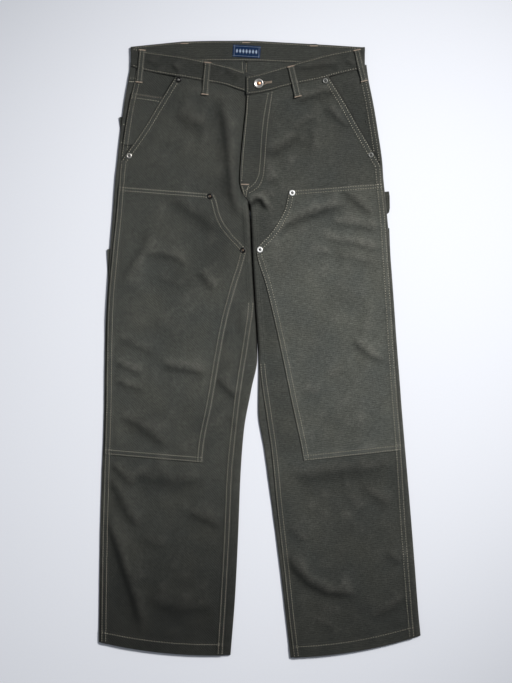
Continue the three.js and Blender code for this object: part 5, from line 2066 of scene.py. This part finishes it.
@dataclass
class BeltLoops:
    """Seven loops over the waistband, each tacked at both ends."""

    duck: bpy.types.Material
    band: Waistband
    legs: dict[str, Leg]
    sewing: Sewing
    cloth: float = 1.5
    bulge: float = 1.3

    def ground(self, x: np.ndarray, y: np.ndarray) -> np.ndarray:
        """Top of the band or of the panel under a front loop.

        Args:
            x: x of the points.
            y: y of the points.

        Returns:
            The heights.
        """
        side = "left" if float(np.mean(x)) > 0 else "right"
        leg = self.legs[side]
        on_band = (y > self.band.bottoms[side](x)) & (y < self.band.tops[side](x))
        panel = np.where(leg.outward * (x - leg.front_outer(y)) > 0, leg.facing(x, y), leg.front(x, y))
        over = np.where(y >= self.band.tops[side](x), self.band.front_level - 1.0, panel)
        return np.where(on_band, self.band.top_of(side)(x, y), over)

    def build(self) -> None:
        """Makes the loops and sews them on."""
        for row in FRONT_LOOPS:
            self.front_loop(row)
        for name, x, top in BACK_LOOPS:
            self.back_loop(name, x, top)

    def front_loop(self, row: LoopRow) -> None:
        """One loop that shows on the front.

        Args:
            row: the loop's name and ends.
        """
        top, bottom = np.array(row.top), np.array(row.bottom)
        run = bottom - top
        length = float(np.linalg.norm(run))
        run /= length
        square = np.array([-run[1], run[0]])
        down = spaced(length, 1.6, (0, 0.2, 0.5, 1.0, 1.8))
        across = spaced(row.width, 1.3, (0, 0.12, 0.35, 0.8, 1.5, 2.3, 3.1))
        centre = top[None] + down[:, None] * run[None]
        seat = np.max([self.ground(*(centre + k * square).T) for k in (-4.5, 0, 4.5)], axis=0)
        spread = 7
        padded = np.pad(seat, spread, mode="edge")
        smooth = np.mean([padded[i:i + len(seat)] for i in range(2 * spread + 1)], axis=0)
        seat = np.maximum(seat, smooth)
        hump = self.bulge * np.sin(np.clip(down / length, 0, 1) * math.pi) ** 0.8
        ends = np.minimum(down, length - down)
        level = seat + 0.3 + self.cloth + hump + 0.7 * (1 - ease((ends - 6) / 3))
        sway = np.random.default_rng(len(row.name)).uniform(-1, 1, 7)
        shift = 0.35 * np.interp(down, np.linspace(0, length, 7), sway)
        place = centre[:, None] + (across[None, :, None] - row.width / 2 + shift[:, None, None]) * square
        inside = np.minimum(across, row.width - across)[None] + 0 * down[:, None]
        inside_all = np.minimum(inside, ends[:, None])
        z = level[:, None] + LOOP_EDGE.relief(inside) - 0.25 * (1 - ease(inside_all / 0.8))
        z += 0.12 * CRINKLE(place[..., 0] * 1.7, place[..., 1] * 1.7)
        points = np.concatenate([place, z[..., None]], axis=-1)
        wash = wash_over(place[..., 0], place[..., 1]) * 1.03
        wear = rub_and_ridge_light_of(points, inside_all, 0.8)
        piece = cloth_piece(f"{row.name}_cloth", points, self.cloth, 0.2, wash, wear)
        finish_piece(piece, self.duck, "duck", row.name)
        Cut(0.0135, 0.0762, 0.00095, ("waistband_cloth",)).declare(piece)

        def face(x: np.ndarray, y: np.ndarray) -> np.ndarray:
            """Top of the loop along its middle."""
            return np.interp((np.stack([x, y], -1) - top) @ run, down, level)

        def sunk(x: np.ndarray, y: np.ndarray) -> np.ndarray:
            """Where the stitches sink into it."""
            return face(x, y) - 0.3

        for offset in (-row.width / 2 + 2.3, row.width / 2 - 2.3):
            path = centre + offset * square
            self.sewing.seam(path[3:-3], sunk, pitch=3.2, length=1.5, width=0.62)
        for end in (top + 1.4 * run, bottom - 1.6 * run):
            self.sewing.tack(tuple(end), tuple(square), row.width + 0.6, face)

    def back_loop(self, name: str, x: float, top: float) -> None:
        """One loop under the back band.

        Args:
            name: the loop's name.
            x: its middle.
            top: y of its upper end.
        """
        width, length = 12.0, 60.0
        across = spaced(width, 1.6, (0, 0.12, 0.35, 0.8, 1.5, 2.3, 3.1))
        down = spaced(length, 2.5, (0, 0.3, 0.8, 1.6))
        xx = x - width / 2 + across[None] + 0 * down[:, None]
        yy = top - down[:, None] + 0 * across[None]
        from_sides = np.minimum(across, width - across)[None]
        inside = np.minimum(from_sides, np.minimum(down, length - down)[:, None])
        z = UNDER_CLEAR - 0.6 * (LOOP_EDGE.relief(inside))
        points = np.stack([xx, yy, z], axis=-1)
        wear = 0.6 * np.exp(-inside)
        piece = cloth_piece(f"{name}_cloth", points, 0.9, 0.2, wash_over(xx, yy), wear, True)
        finish_piece(piece, self.duck, "duck", name)
        Cut(0.0135, 0.0762, 0.00085, ("waistband_cloth",)).declare(piece)
        for offset in (-width / 2 + 2.3, width / 2 - 2.3):
            path = np.array([[x + offset, top - 4], [x + offset, top - length + 4]])
            self.sewing.seam(path, level_at(0.32), side=-1, pitch=3.0, length=2.5, width=0.75)
        edge = at(self.band.tops["back"], x)
        self.sewing.tack((x, edge - 3.6), (1, 0), 13.0, self.band.inner_of_back)
        for y in (top - 2, top - length + 2):
            self.sewing.tack((x, y), (1, 0), 11.5, level_at(0.55), side=-1)


class FlatRow(NamedTuple):
    """Flat piece under the back: its node, outline and the outline's stitched edges by number."""

    name: str
    outline: tuple[tuple[float, float], ...]
    stitched: tuple[int, ...]


def pocket_outline(x: float, top: float, lean: float) -> tuple[tuple[float, float], ...]:
    """Pointed back pocket's outline, from its top left corner round.

    Args:
        x: x of the top edge's middle.
        top: y of it.
        lean: how far the pocket leans.

    Returns:
        The corners.
    """
    half, height, point, taper = 75.0, 165.0, 22.0, 4.0
    low = -height + point
    corners = ((-half, 0), (-half + taper, low), (0, -height), (half - taper, low), (half, 0))
    return tuple((x + dx - lean * dy, top + dy + lean * dx) for dx, dy in corners)


UNDER_PIECES = (
    FlatRow("back_pocket_right", pocket_outline(-132, 436, -0.05), (0, 1, 2, 3, 4)),
    FlatRow("back_pocket_left", pocket_outline(76, 436, 0.05), (0, 1, 2, 3, 4)),
    FlatRow("tool_pocket_right",
            ((-254.5, 418), (-253, 385), (-262.6, 250), (-266.4, 196), (-220, 196), (-224, 420)),
            (3, 4, 5)),
    FlatRow("ruler_pocket_right",
            ((-276.4, 180), (-276, 140), (-274, 62), (-190, 62), (-190, 184)), (2, 3, 4)),
    FlatRow("utility_pocket_left",
            ((231.8, 218), (148, 212), (152, 62), (239.6, 68), (238, 90), (233, 188)), (0, 1, 2)),
    FlatRow("hammer_loop_left",
            ((226, 242), (231.2, 246), (232.6, 254), (232.2, 276), (231, 284), (126, 276), (127, 238)),
            (4, 6)),
)


@dataclass
class UnderPieces:
    """Pockets and hammer loop on the back, on which the trousers lie."""

    duck: bpy.types.Material
    sewing: Sewing
    legs: dict[str, Leg]

    def build(self) -> None:
        """Makes every flat piece and its stitches."""
        for row in UNDER_PIECES:
            self.flat_piece(row)

    def flat_piece(self, row: FlatRow) -> None:
        """One flat pocket: its outline raised to a wall with rounded edges.

        Args:
            row: the piece's name, outline and sewn edges.
        """
        shape = bmesh.new()
        corners = [shape.verts.new((x, y, UNDER_CLEAR)) for x, y in row.outline]
        face = shape.faces.new(corners)
        wall = bmesh.ops.extrude_face_region(shape, geom=[face])
        moved = [item for item in wall["geom"] if isinstance(item, bmesh.types.BMVert)]
        bmesh.ops.translate(shape, verts=moved, vec=(0, 0, UNDER_CLOTH))
        bmesh.ops.recalc_face_normals(shape, faces=shape.faces)
        bmesh.ops.bevel(
            shape, geom=list(shape.edges), offset=0.3, segments=2, affect="EDGES", profile=0.5, material=-1,
        )
        for axis, size in (((1, 0, 0), 8.0), ((0, 1, 0), 8.0)):
            values = [vertex.co.dot(Vector(axis)) for vertex in shape.verts]
            for k in range(1, int((max(values) - min(values)) / size)):
                everything = list(shape.verts) + list(shape.edges) + list(shape.faces)
                point = Vector(axis) * (min(values) + k * size)
                bmesh.ops.bisect_plane(shape, geom=everything, plane_co=point, plane_no=axis, dist=1e-5)
        outline = np.array([vertex.co[:] for vertex in shape.verts])
        leg = self.legs["right" if row.name.endswith("right") else "left"]
        outside = leg.outward * (outline[:, 0] - leg.outer(outline[:, 1]))
        outline[:, 2] += 3.0 * ease(outside / 5)
        mesh = mesh_of(f"{row.name}_cloth", shape)
        mesh.vertices.foreach_set("co", to_frame(outline).ravel())
        lay_weave(mesh, outline[:, :2] / 1000)
        x, y = outline.T[:2]
        carry(mesh, wash=wash_over(x, y), wear=0.1 + 0 * x)
        mesh.update()
        piece = add_object(f"{row.name}_cloth", mesh)
        finish_piece(piece, self.duck, "duck", row.name)
        piece.data.polygons.foreach_set("use_smooth", [False] * len(piece.data.polygons))
        points = np.array(row.outline)
        size = (points.max(axis=0) - points.min(axis=0)) / 1000
        following = np.roll(points, -1, axis=0)
        middle = points.mean(axis=0)
        for k in row.stitched:
            start, end = points[k], following[k]
            run = (end - start) / np.linalg.norm(end - start)
            square = np.array([-run[1], run[0]])
            square *= 1 if square @ (middle - start) > 0 else -1
            for inset in (2.2, 9.0):
                path = np.array([start + run * inset + square * inset, end - run * inset + square * inset])
                self.sewing.seam(path, level_at(UNDER_CLEAR + 0.22), side=-1)


@dataclass(frozen=True)
class Label:
    """Woven label on the inside of the back waistband."""

    x: float = -25.5
    y: float = 536.0
    width: float = 50.0
    height: float = 22.0
    thickness: float = 0.7
    tilt: float = -0.06

    def build(self, band: Waistband, sewing: Sewing) -> None:
        """Makes the label and sews its short ends.

        Args:
            band: the waistband that it lies in.
            sewing: what sews it.
        """
        across = spaced(self.width, 1.6, (0, 0.15, 0.4, 0.9, 1.6))
        up = spaced(self.height, 1.4, (0, 0.15, 0.4, 0.9))
        u = across[None] - self.width / 2 + 0 * up[:, None]
        v = up[:, None] - self.height / 2 + 0 * across[None]
        x = self.x + u * math.cos(self.tilt) - v * math.sin(self.tilt)
        y = self.y + u * math.sin(self.tilt) + v * math.cos(self.tilt)
        inside = np.minimum(self.width / 2 - np.abs(u), self.height / 2 - np.abs(v))
        base = band.back_level + band.cloth + 0.15 + self.thickness
        z = base + 0.35 * np.cos(u / self.width * math.pi) + 0.15 * np.sin(u / 9)
        z -= 0.25 * np.exp(-inside / 0.4)
        points = np.stack([x, y, z], axis=-1)
        piece = cloth_piece("label_cloth", points, self.thickness)
        lay_weave(piece.data, np.stack([u, v], axis=-1).reshape(-1, 2) / 1000)
        finish_piece(piece, LabelFinish().material(self.width / 1000, self.height / 1000), "label", "label")
        turn = np.array([math.cos(self.tilt), math.sin(self.tilt)])
        square = np.array([-turn[1], turn[0]])
        centre = np.array([self.x, self.y])
        for end in (-1, 1):
            middle = centre + end * (self.width / 2 - 1.4) * turn
            reach = square * (self.height / 2 - 1)
            path = np.array([middle - reach, middle + reach])
            sewing.seam(path, level_at(base + 0.1), Thread.NAVY, pitch=2.6, length=2.1, width=0.6)


LABEL = Label()


@dataclass(frozen=True)
class RivetRow:
    """One rivet: its node, place, size and finish."""

    name: str
    x: float
    y: float
    finish: str
    bore: str
    radius: float = 4.9


RIVETS = (
    RivetRow("rivet_slash_top_right", -147.8, 484.6, "black", "dull", 5.3),
    RivetRow("rivet_slash_end_right", -236.8, 347.6, "nickel", "hollow"),
    RivetRow("rivet_patch_top_right", -91.6, 274.6, "black", "bronze", 5.3),
    RivetRow("rivet_patch_point_right", -32.6, 177.6, "black", "bronze", 5.3),
    RivetRow("rivet_slash_top_left", 116.0, 482.3, "dull", "hollow"),
    RivetRow("rivet_slash_end_left", 198.0, 349.0, "dull", "hollow"),
    RivetRow("rivet_patch_top_left", 56.4, 280.4, "bright", "hollow", 5.3),
    RivetRow("rivet_patch_point_left", -1.6, 178.6, "bright", "hollow", 5.3),
)


def spun(
    name: str, profile: Sequence[tuple[float, float]], steps: int, centre: Sequence[float],
) -> bpy.types.Object:
    """Round piece spun from a profile.

    Args:
        name: the piece's name.
        profile: radius and height of each point, from the axis out and back to it.
        steps: how many sides it has.
        centre: where its axis meets the cloth, in pattern millimetres.

    Returns:
        The piece in place.
    """
    shape = bmesh.new()
    chain = [shape.verts.new((radius, 0, height)) for radius, height in profile]
    edges = [shape.edges.new(pair) for pair in zip(chain, chain[1:])]
    bmesh.ops.spin(
        shape, geom=chain + edges, cent=(0, 0, 0), axis=(0, 0, 1), angle=2 * math.pi, steps=steps,
        use_merge=True,
    )
    bmesh.ops.remove_doubles(shape, verts=shape.verts, dist=1e-4)
    bmesh.ops.recalc_face_normals(shape, faces=shape.faces)
    mesh = mesh_of(name, shape)
    flat = np.empty(len(mesh.vertices) * 3)
    mesh.vertices.foreach_get("co", flat)
    mesh.vertices.foreach_set("co", to_frame(flat.reshape(-1, 3) + np.array(centre)).ravel())
    mesh.update()
    return add_object(name, mesh)


@dataclass
class Hardware:
    """Button and rivets, spun from their profiles."""

    metals: dict[str, bpy.types.Material]
    legs: dict[str, Leg]
    band: Waistband
    button_x: float = -3.9
    button_y: float = 477.2
    button_radius: float = 8.6

    def build(self) -> None:
        """Makes the rivets and the button."""
        for row in RIVETS:
            self.rivet(row)
        self.button()

    def rivet(self, row: RivetRow) -> None:
        """Ring with a domed rim, and the burr in its hollow.

        Args:
            row: the rivet's name, place and kind.
        """
        leg = self.legs["right" if row.name.endswith("right") else "left"]
        around = [(row.x + dx, row.y + dy) for dx in (-3, 0, 3) for dy in (-3, 0, 3)]
        seat = max(float(leg.top(np.array(x), np.array(y))) for x, y in around) + 0.1
        r = row.radius
        ring = (
            (0.40 * r, -1.2), (r * 0.98, -1.2), (r, 0.1),
            (0.97 * r, 0.55), (0.88 * r, 0.95), (0.74 * r, 1.15),
            (0.58 * r, 1.05), (0.46 * r, 0.75), (0.40 * r, 0.25), (0.40 * r, -1.2),
        )
        piece = spun(f"{row.name}_ring", ring, 32, (row.x, row.y, seat))
        slot = "bronze" if row.finish in ("bronze", "black") else "nickel"
        finish_piece(piece, self.metals[row.finish], slot, row.name)
        burr = (
            (0, -1.1), (0.42 * r, -1.1), (0.42 * r, -0.2), (0.30 * r, -0.3), (0.2 * r, 0.1), (0.1 * r, 0.3),
            (0, 0.33),
        )
        core = spun(f"{row.name}_burr", burr, 20, (row.x, row.y, seat))
        finish_piece(core, self.metals[row.bore], slot)

    def button(self) -> None:
        """Shank button: a dished ring with a copper nub."""
        seat = float(self.band.top_of("left")(np.array(self.button_x), np.array(self.button_y))) + 0.25
        r = self.button_radius
        dish = (
            (0, 0), (0.84 * r, 0), (0.95 * r, 0.35), (r, 1.0), (0.99 * r, 1.7), (0.94 * r, 2.25),
            (0.86 * r, 2.5),
            (0.78 * r, 2.35), (0.70 * r, 1.95), (0.58 * r, 1.5), (0.48 * r, 1.3), (0.42 * r, 1.25), (0, 1.2),
        )
        piece = spun("button_dish", dish, 48, (self.button_x, self.button_y, seat))
        finish_piece(piece, self.metals["nickel"], "nickel", "button")
        nub = (
            (0, 1.1), (0.40 * r, 1.1), (0.42 * r, 1.5), (0.37 * r, 2.2), (0.26 * r, 2.75), (0.12 * r, 3.0),
            (0, 3.05),
        )
        core = spun("button_nub", nub, 32, (self.button_x, self.button_y, seat))
        finish_piece(core, self.metals["copper"], "nickel")


FLY_EDGE = ((-26.6, 490.7), (-25.7, 461.7), (-28.4, 413.5), (-33.6, 365.2), (-37.5, 301.5))
FLY_CURVE_OUTER = (
    (21.2, 467), (16, 432), (11.3, 399.6), (7.7, 347.9), (5.1, 313.6), (0.8, 298.1), (-7.8, 287.8),
    (-21.5, 280.4),
)


def smooth_path(points: Sequence[tuple[float, float]]) -> np.ndarray:
    """Smooth path through chosen points, with round bends.

    Args:
        points: its corners as x and y.

    Returns:
        Rows of x and y.
    """
    path = np.array(points, dtype=float)
    for _ in range(3):
        cut = np.empty((2 * len(path), 2))
        cut[0], cut[-1] = path[0], path[-1]
        cut[1:-1:2] = path[:-1] * 0.75 + path[1:] * 0.25
        cut[2:-1:2] = path[:-1] * 0.25 + path[1:] * 0.75
        path = cut
    keep = np.concatenate([[True], np.linalg.norm(np.diff(path, axis=0), axis=1) > 1e-6])
    return path[keep]


@dataclass
class Seamstress:
    """Sews every line that shows on the trousers."""

    sewing: Sewing
    legs: dict[str, Leg]
    band: Waistband
    coin: CoinPocket
    twin: tuple[float, float] = (1.9, 8.9)

    def edge_path(self, edge: Line, low: float, high: float) -> np.ndarray:
        """Path up a steep edge."""
        y = np.arange(low, high, 3.0)
        return path_of(edge(y), y)

    def sew(self) -> None:
        """Sews the whole garment."""
        for leg in self.legs.values():
            self.leg_seams(leg)
            self.patch_seams(leg)
            self.pocket_seams(leg)
            self.under_seams(leg)
        self.fly()
        self.waist()

    def leg_seams(self, leg: Leg) -> None:
        """Outseam, inseam and hem of one leg.

        Args:
            leg: the leg.
        """
        for inset in self.twin:
            hem_outer = at(leg.lines["hem"], at(leg.outseam, -530.0)) + 1.5
            hem_inner = at(leg.lines["hem"], at(leg.inseam, -540.0)) + 1.5
            edge = self.edge_path(leg.outseam, hem_outer, leg.slash_end - 4)
            path = offset_path(edge, leg.outward * inset)
            self.sewing.seam(path, leg.top)
            inseam_top = 84 if leg.side == "right" else -24
            path = offset_path(self.edge_path(leg.inseam, hem_inner, inseam_top), -leg.outward * inset)
            self.sewing.seam(path, leg.top)
        hem = leg.lines["hem"]
        ends = sorted((at(leg.outseam, -510.0), at(leg.inseam, -530.0)))
        x = np.linspace(ends[0] + 1, ends[1] - 1, 90)
        self.sewing.seam(path_of(x, hem(x) + 19.6), leg.top)

    def patch_seams(self, leg: Leg) -> None:
        """Twin lines round the knee patch's three free edges.

        Args:
            leg: the leg.
        """
        out = leg.outward
        for inset in self.twin:
            y = np.arange(-210.0, 300.0, 2.0)
            path = offset_path(path_of(leg.patch_edge(y), y), -out * inset)
            keep = (path[:, 1] > leg.lines["patch_bottom"](path[:, 0]) + 1.6)
            keep &= (path[:, 1] < leg.lines["patch_top"](path[:, 0]) - 1.6)
            self.sewing.seam(path[keep], leg.knee)
            for line, way in (("patch_top", -1), ("patch_bottom", 1)):
                edge_y = at(leg.lines[line], at(leg.patch_edge, 280.0 if way < 0 else -196.0))
                start = at(leg.outseam, edge_y) - out * 1.5
                x = np.linspace(start, at(leg.patch_edge, edge_y) + out * 1.6, 60)
                gap = inset if way > 0 or inset < 4 else inset - 1.6
                self.sewing.seam(path_of(x, leg.lines[line](x) + way * gap), leg.knee)

    def pocket_seams(self, leg: Leg) -> None:
        """Slash pocket's edge, the outseam over its facing, and the coin pocket.

        Args:
            leg: the leg.
        """
        out = leg.outward
        low, high = leg.slash_end - 3, leg.slash_end + 165
        for inset in self.twin:
            path = offset_path(self.edge_path(leg.slash, low, high), out * inset)
            path = path[path[:, 1] < leg.lines["waist"](path[:, 0]) - 2]
            self.sewing.seam(path, leg.front)
            path = offset_path(self.edge_path(leg.outseam, leg.slash_end + 2, high + 20), out * inset)
            keep = (path[:, 1] < leg.lines["waist"](path[:, 0]) - 2)
            keep &= out * (path[:, 0] - leg.slash(path[:, 1])) > 1.5
            self.sewing.seam(path[keep], self.coin.top if leg.side == "right" else leg.facing)
        if leg.side == "right":
            for inset, thread in ((2.2, Thread.TACK), (8.4, Thread.TAN)):
                top = self.coin.top_line
                x = np.linspace(at(leg.outseam, 456.0) + 1, at(leg.slash, 453.0 - inset) - 1, 20)
                self.sewing.seam(path_of(x, top(x) - inset), self.coin.height, thread)

    def under_seams(self, leg: Leg) -> None:
        """Seams on the back: yoke, centre back, and the lines that cross the side strips.

        Args:
            leg: the leg.
        """
        for inset in (2.0, 9.4):
            x = np.linspace(at(leg.outer, 480.0) - leg.outward * 4, leg.centre_back + leg.outward * 2, 60)
            self.sewing.seam(path_of(x, leg.lines["yoke_seam"](x) + inset), under_face, side=-1)
            if leg.side == "left":
                y = np.arange(300.0, 440.0, 3.0)
                self.sewing.seam(path_of(leg.centre_back + inset + 0 * y, y), under_face, side=-1)
        strips = ((487.6, 481.2), (404, 372)) if leg.side == "right" else ((488, 481.5), ())
        for level in (value for pair in strips for value in pair):
            outer = at(leg.outer, level) - leg.outward * 2.4
            seam = at(leg.outseam, level) + leg.outward * 0.8
            if abs(outer - seam) > 3:
                self.sewing.seam([(outer, level), (seam, level)], leg.strip_top, pitch=2.8, length=2.2)

    def fly(self) -> None:
        """Fly edge, its curved double line, the crotch and their tacks."""
        left = self.legs["left"]
        edge = smooth_path([point for point in FLY_EDGE if point[1] < 470])
        self.sewing.seam(offset_path(edge, 3.0), left.front)
        for line in (FLY_CURVE_OUTER, FLY_CURVE_INNER):
            path = smooth_path(line)
            path = path[path[:, 1] < left.lines["waist"](path[:, 0]) - 1.5]
            self.sewing.seam(path, left.front)
        self.sewing.tack((-28.4, 296.3), (1, -0.02), 13.5, left.front)
        self.sewing.seam([(-21.5, 294), (-24.9, 286.2), (-27.0, 273)], left.front, pitch=2.8)
        self.sewing.seam([(-33.5, 293), (-31.5, 286.2), (-29.4, 276)], left.front, pitch=2.8)

    def waist(self) -> None:
        """Lines along both edges of the band, its lapped end, the buttonhole and the inside of the back."""
        for side, low, high in (("right", -230.0, -27.5), ("left", -22.5, 183.5)):
            x = np.arange(low, high, 3.0)
            top = self.band.top_of(side)
            for edge, way in ((self.band.tops[side], -1), (self.band.bottoms[side], 1)):
                self.sewing.seam(path_of(x, edge(x) + way * 3.0), top)
        end = [
            (-23.4, at(self.band.bottoms["left"], -23.4) + 3),
            (-23.6, at(self.band.tops["left"], -23.6) - 3),
        ]
        self.sewing.seam(end, self.band.top_of("left"))
        inner = self.band.inner_of_back
        x = np.arange(-227.0, 182.0, 3.0)
        self.sewing.seam(path_of(x, self.band.tops["back"](x) - 3.0), inner)
        x = np.arange(-120.0, 90.0, 3.0)
        self.sewing.seam(path_of(x, self.band.bottoms["back"](x) + 3.4), inner)
        for seam_x in (-33.2, -25.7):
            self.sewing.seam([(seam_x, 517), (seam_x + 0.4, 480)], inside_face)
        self.buttonhole()

    def buttonhole(self) -> None:
        """Keyhole buttonhole: a ring of thread round its eyelet and a bar of it along the slit."""
        top = self.band.top_of("left")
        eye, tail = np.array([6.4, 478.1]), np.array([18.6, 480.2])
        run = (tail - eye) / np.linalg.norm(tail - eye)
        square = np.array([-run[1], run[0]])
        for angle in np.linspace(0.5, 2 * math.pi - 0.5, 15):
            spoke = math.cos(angle) * run + math.sin(angle) * square
            path = [tuple(eye + 1.7 * spoke), tuple(eye + 3.3 * spoke)]
            self.sewing.seam(path, top, Thread.TACK, 1, 2.0, 1.7, 0.8)
        for way in (-1, 1):
            for step in np.arange(2.6, 12.0, 0.8):
                middle = eye + step * run + way * square
                path = [tuple(middle - 0.7 * square), tuple(middle + 0.7 * square)]
                self.sewing.seam(path, top, Thread.TACK, 1, 1.4, 1.7, 0.75)
        self.sewing.tack(tuple(tail + 0.4 * run), tuple(square), 3.4, top)


@dataclass(frozen=True)
class Studio:
    """Pale floor, soft lights and the camera over the trousers."""

    centre: tuple[float, float] = (-0.00667, 0.01335)
    distance: float = 2.8
    view_height: float = 1.2294
    frame_size: float = 36.0
    floor_size: float = 9.0
    key_aim: tuple[float, float, float] = (-0.03, -0.02, 0.0)
    key_way: tuple[float, float, float] = (0.60, 0.46, 0.86)
    key_distance: float = 4.0
    key_reach: float = 1.3
    key_power: float = 800.0
    key_radius: float = 0.45
    sky: tuple[float, float, float] = (0.86, 0.92, 1.0)
    sky_strength: float = 0.24

    def build(self) -> None:
        """Makes the floor, the lights and the camera."""
        self.floor()
        self.key_light()
        self.world()
        self.camera()

    def floor(self) -> None:
        """Plain floor under the trousers."""
        shape = bmesh.new()
        bmesh.ops.create_grid(shape, x_segments=24, y_segments=24, size=self.floor_size / 2)
        floor = add_object("floor", mesh_of("floor", shape))
        floor.data.materials.append(FloorFinish().material())

    def key_light(self) -> None:
        """Large soft lamp from the upper right, which fades towards the edges of the floor that shows."""
        light = bpy.data.lights.new("key", "SPOT")
        light.energy = self.key_power
        light.spot_size = 2 * math.atan(self.key_reach / self.key_distance)
        light.spot_blend = 1.0
        light.shadow_soft_size = self.key_radius
        light.color = (1.0, 0.99, 0.975)
        lamp = bpy.data.objects.new("key", light)
        way = Vector(self.key_way).normalized()
        lamp.location = Vector(self.key_aim) + way * self.key_distance
        lamp.rotation_euler = (-way).to_track_quat("-Z", "Y").to_euler()
        bpy.context.scene.collection.objects.link(lamp)

    def world(self) -> None:
        """Even cool light from all round."""
        world = bpy.data.worlds.new("studio")
        world.use_nodes = True
        sky = world.node_tree.nodes["Background"]
        sky.inputs["Color"].default_value = (*self.sky, 1)
        sky.inputs["Strength"].default_value = self.sky_strength
        bpy.context.scene.world = world
        bpy.context.scene.view_settings.view_transform = "Standard"

    def camera(self) -> None:
        """Camera straight over the trousers."""
        lens = bpy.data.cameras.new("camera")
        lens.sensor_width = self.frame_size
        lens.sensor_fit = "AUTO"
        lens.lens = self.frame_size * self.distance / self.view_height
        lens.dof.use_dof = False
        lens.clip_end = 50
        eye = bpy.data.objects.new("camera", lens)
        eye.location = (*self.centre, self.distance + 0.006)
        bpy.context.scene.collection.objects.link(eye)
        bpy.context.scene.camera = eye


CUTS = {
    "right": (
        Cut(0.268, 1.072, 0.2420, ("back_panel_right",)),
        Cut(0.246, 0.495, 0.1005, ("front_panel_right",)),
        Cut(0.305, 1.032, 0.2950),
        Cut(0.240, 0.085, 0.0165),
        Cut(0.120, 0.190, 0.0110, ("back_panel_right",)),
    ),
    "left": (
        Cut(0.268, 1.080, 0.2420, ("back_panel_left",)),
        Cut(0.246, 0.501, 0.1005, ("front_panel_left",)),
        Cut(0.305, 1.040, 0.2900),
        Cut(0.245, 0.085, 0.0165),
        Cut(0.120, 0.190, 0.0110, ("back_panel_left",)),
    ),
}


def make_metals() -> dict[str, bpy.types.Material]:
    """Every metal finish of the button and rivets.

    Returns:
        The materials by name.
    """
    finishes = {
        "nickel": MetalFinish("dull_nickel", (0.62, 0.60, 0.57), (0.30, 0.28, 0.26), 0.36),
        "dull": MetalFinish("tarnished_nickel", (0.20, 0.20, 0.19), (0.09, 0.09, 0.08), 0.46, 0.5),
        # near-white and barely metallic: the lamp's reflection in the bright rivets painted into their
        # colour
        "bright": MetalFinish("bright_nickel", (0.88, 0.88, 0.87), (0.60, 0.59, 0.57), 0.40, 0.3),
        "bronze": MetalFinish("dark_bronze", (0.15, 0.105, 0.075), (0.06, 0.045, 0.035), 0.42),
        "black": MetalFinish("black_nickel", (0.012, 0.011, 0.011), (0.005, 0.005, 0.005), 0.30, 0.6),
        "copper": MetalFinish("worn_copper", (0.72, 0.36, 0.20), (0.35, 0.17, 0.10), 0.35),
        "hollow": MetalFinish("shaded_nickel", (0.10, 0.10, 0.10), (0.04, 0.04, 0.04), 0.5),
    }
    return {key: finish.material() for key, finish in finishes.items()}


def main() -> None:
    """Builds the trousers piece by piece and reports each one."""
    logging.basicConfig(level=logging.INFO, format="%(name)s: %(message)s")
    Studio().build()
    duck = DuckFinish().material()
    # shaded copy of the cloth's finish without gloss and nap: painted shade for faces in narrow gaps
    gap_shade_finish = DuckFinish(name="washed_duck_in_gaps", gloss=0.0, nap=0.0).material()
    sewing = Sewing()
    legs = make_legs()
    band = Waistband(duck, Cut(0.870, 0.040, 0.0325))
    for side, leg in legs.items():
        LegPieces(leg, duck, gap_shade_finish, *CUTS[side]).build()
    coin = CoinPocket(legs["right"], duck, Cut(0.075, 0.100, 0.0045, ("pocket_facing_right",)))
    coin.build()
    band.build()
    BeltLoops(duck, band, legs, sewing).build()
    UnderPieces(duck, sewing, legs).build()
    LABEL.build(band, sewing)
    Hardware(make_metals(), legs, band).build()
    Seamstress(sewing, legs, band, coin).sew()
    sewing.make({
        Thread.TAN: ThreadFinish("tan_thread", (0.90, 0.84, 0.67), (0.58, 0.52, 0.39)).material(),
        Thread.TACK: ThreadFinish("rosy_thread", (0.50, 0.40, 0.31), (0.34, 0.25, 0.19)).material(),
        # near-black: painted shade of the needle holes
        Thread.HOLE_SHADE: ThreadFinish("needle_hole_shade", (0.016, 0.016, 0.014), (0.008, 0.008, 0.007)).material(),
        Thread.NAVY: ThreadFinish("navy_thread", (0.06, 0.10, 0.22), (0.03, 0.05, 0.12)).material(),
    })


if __name__ == "__main__":
    main()
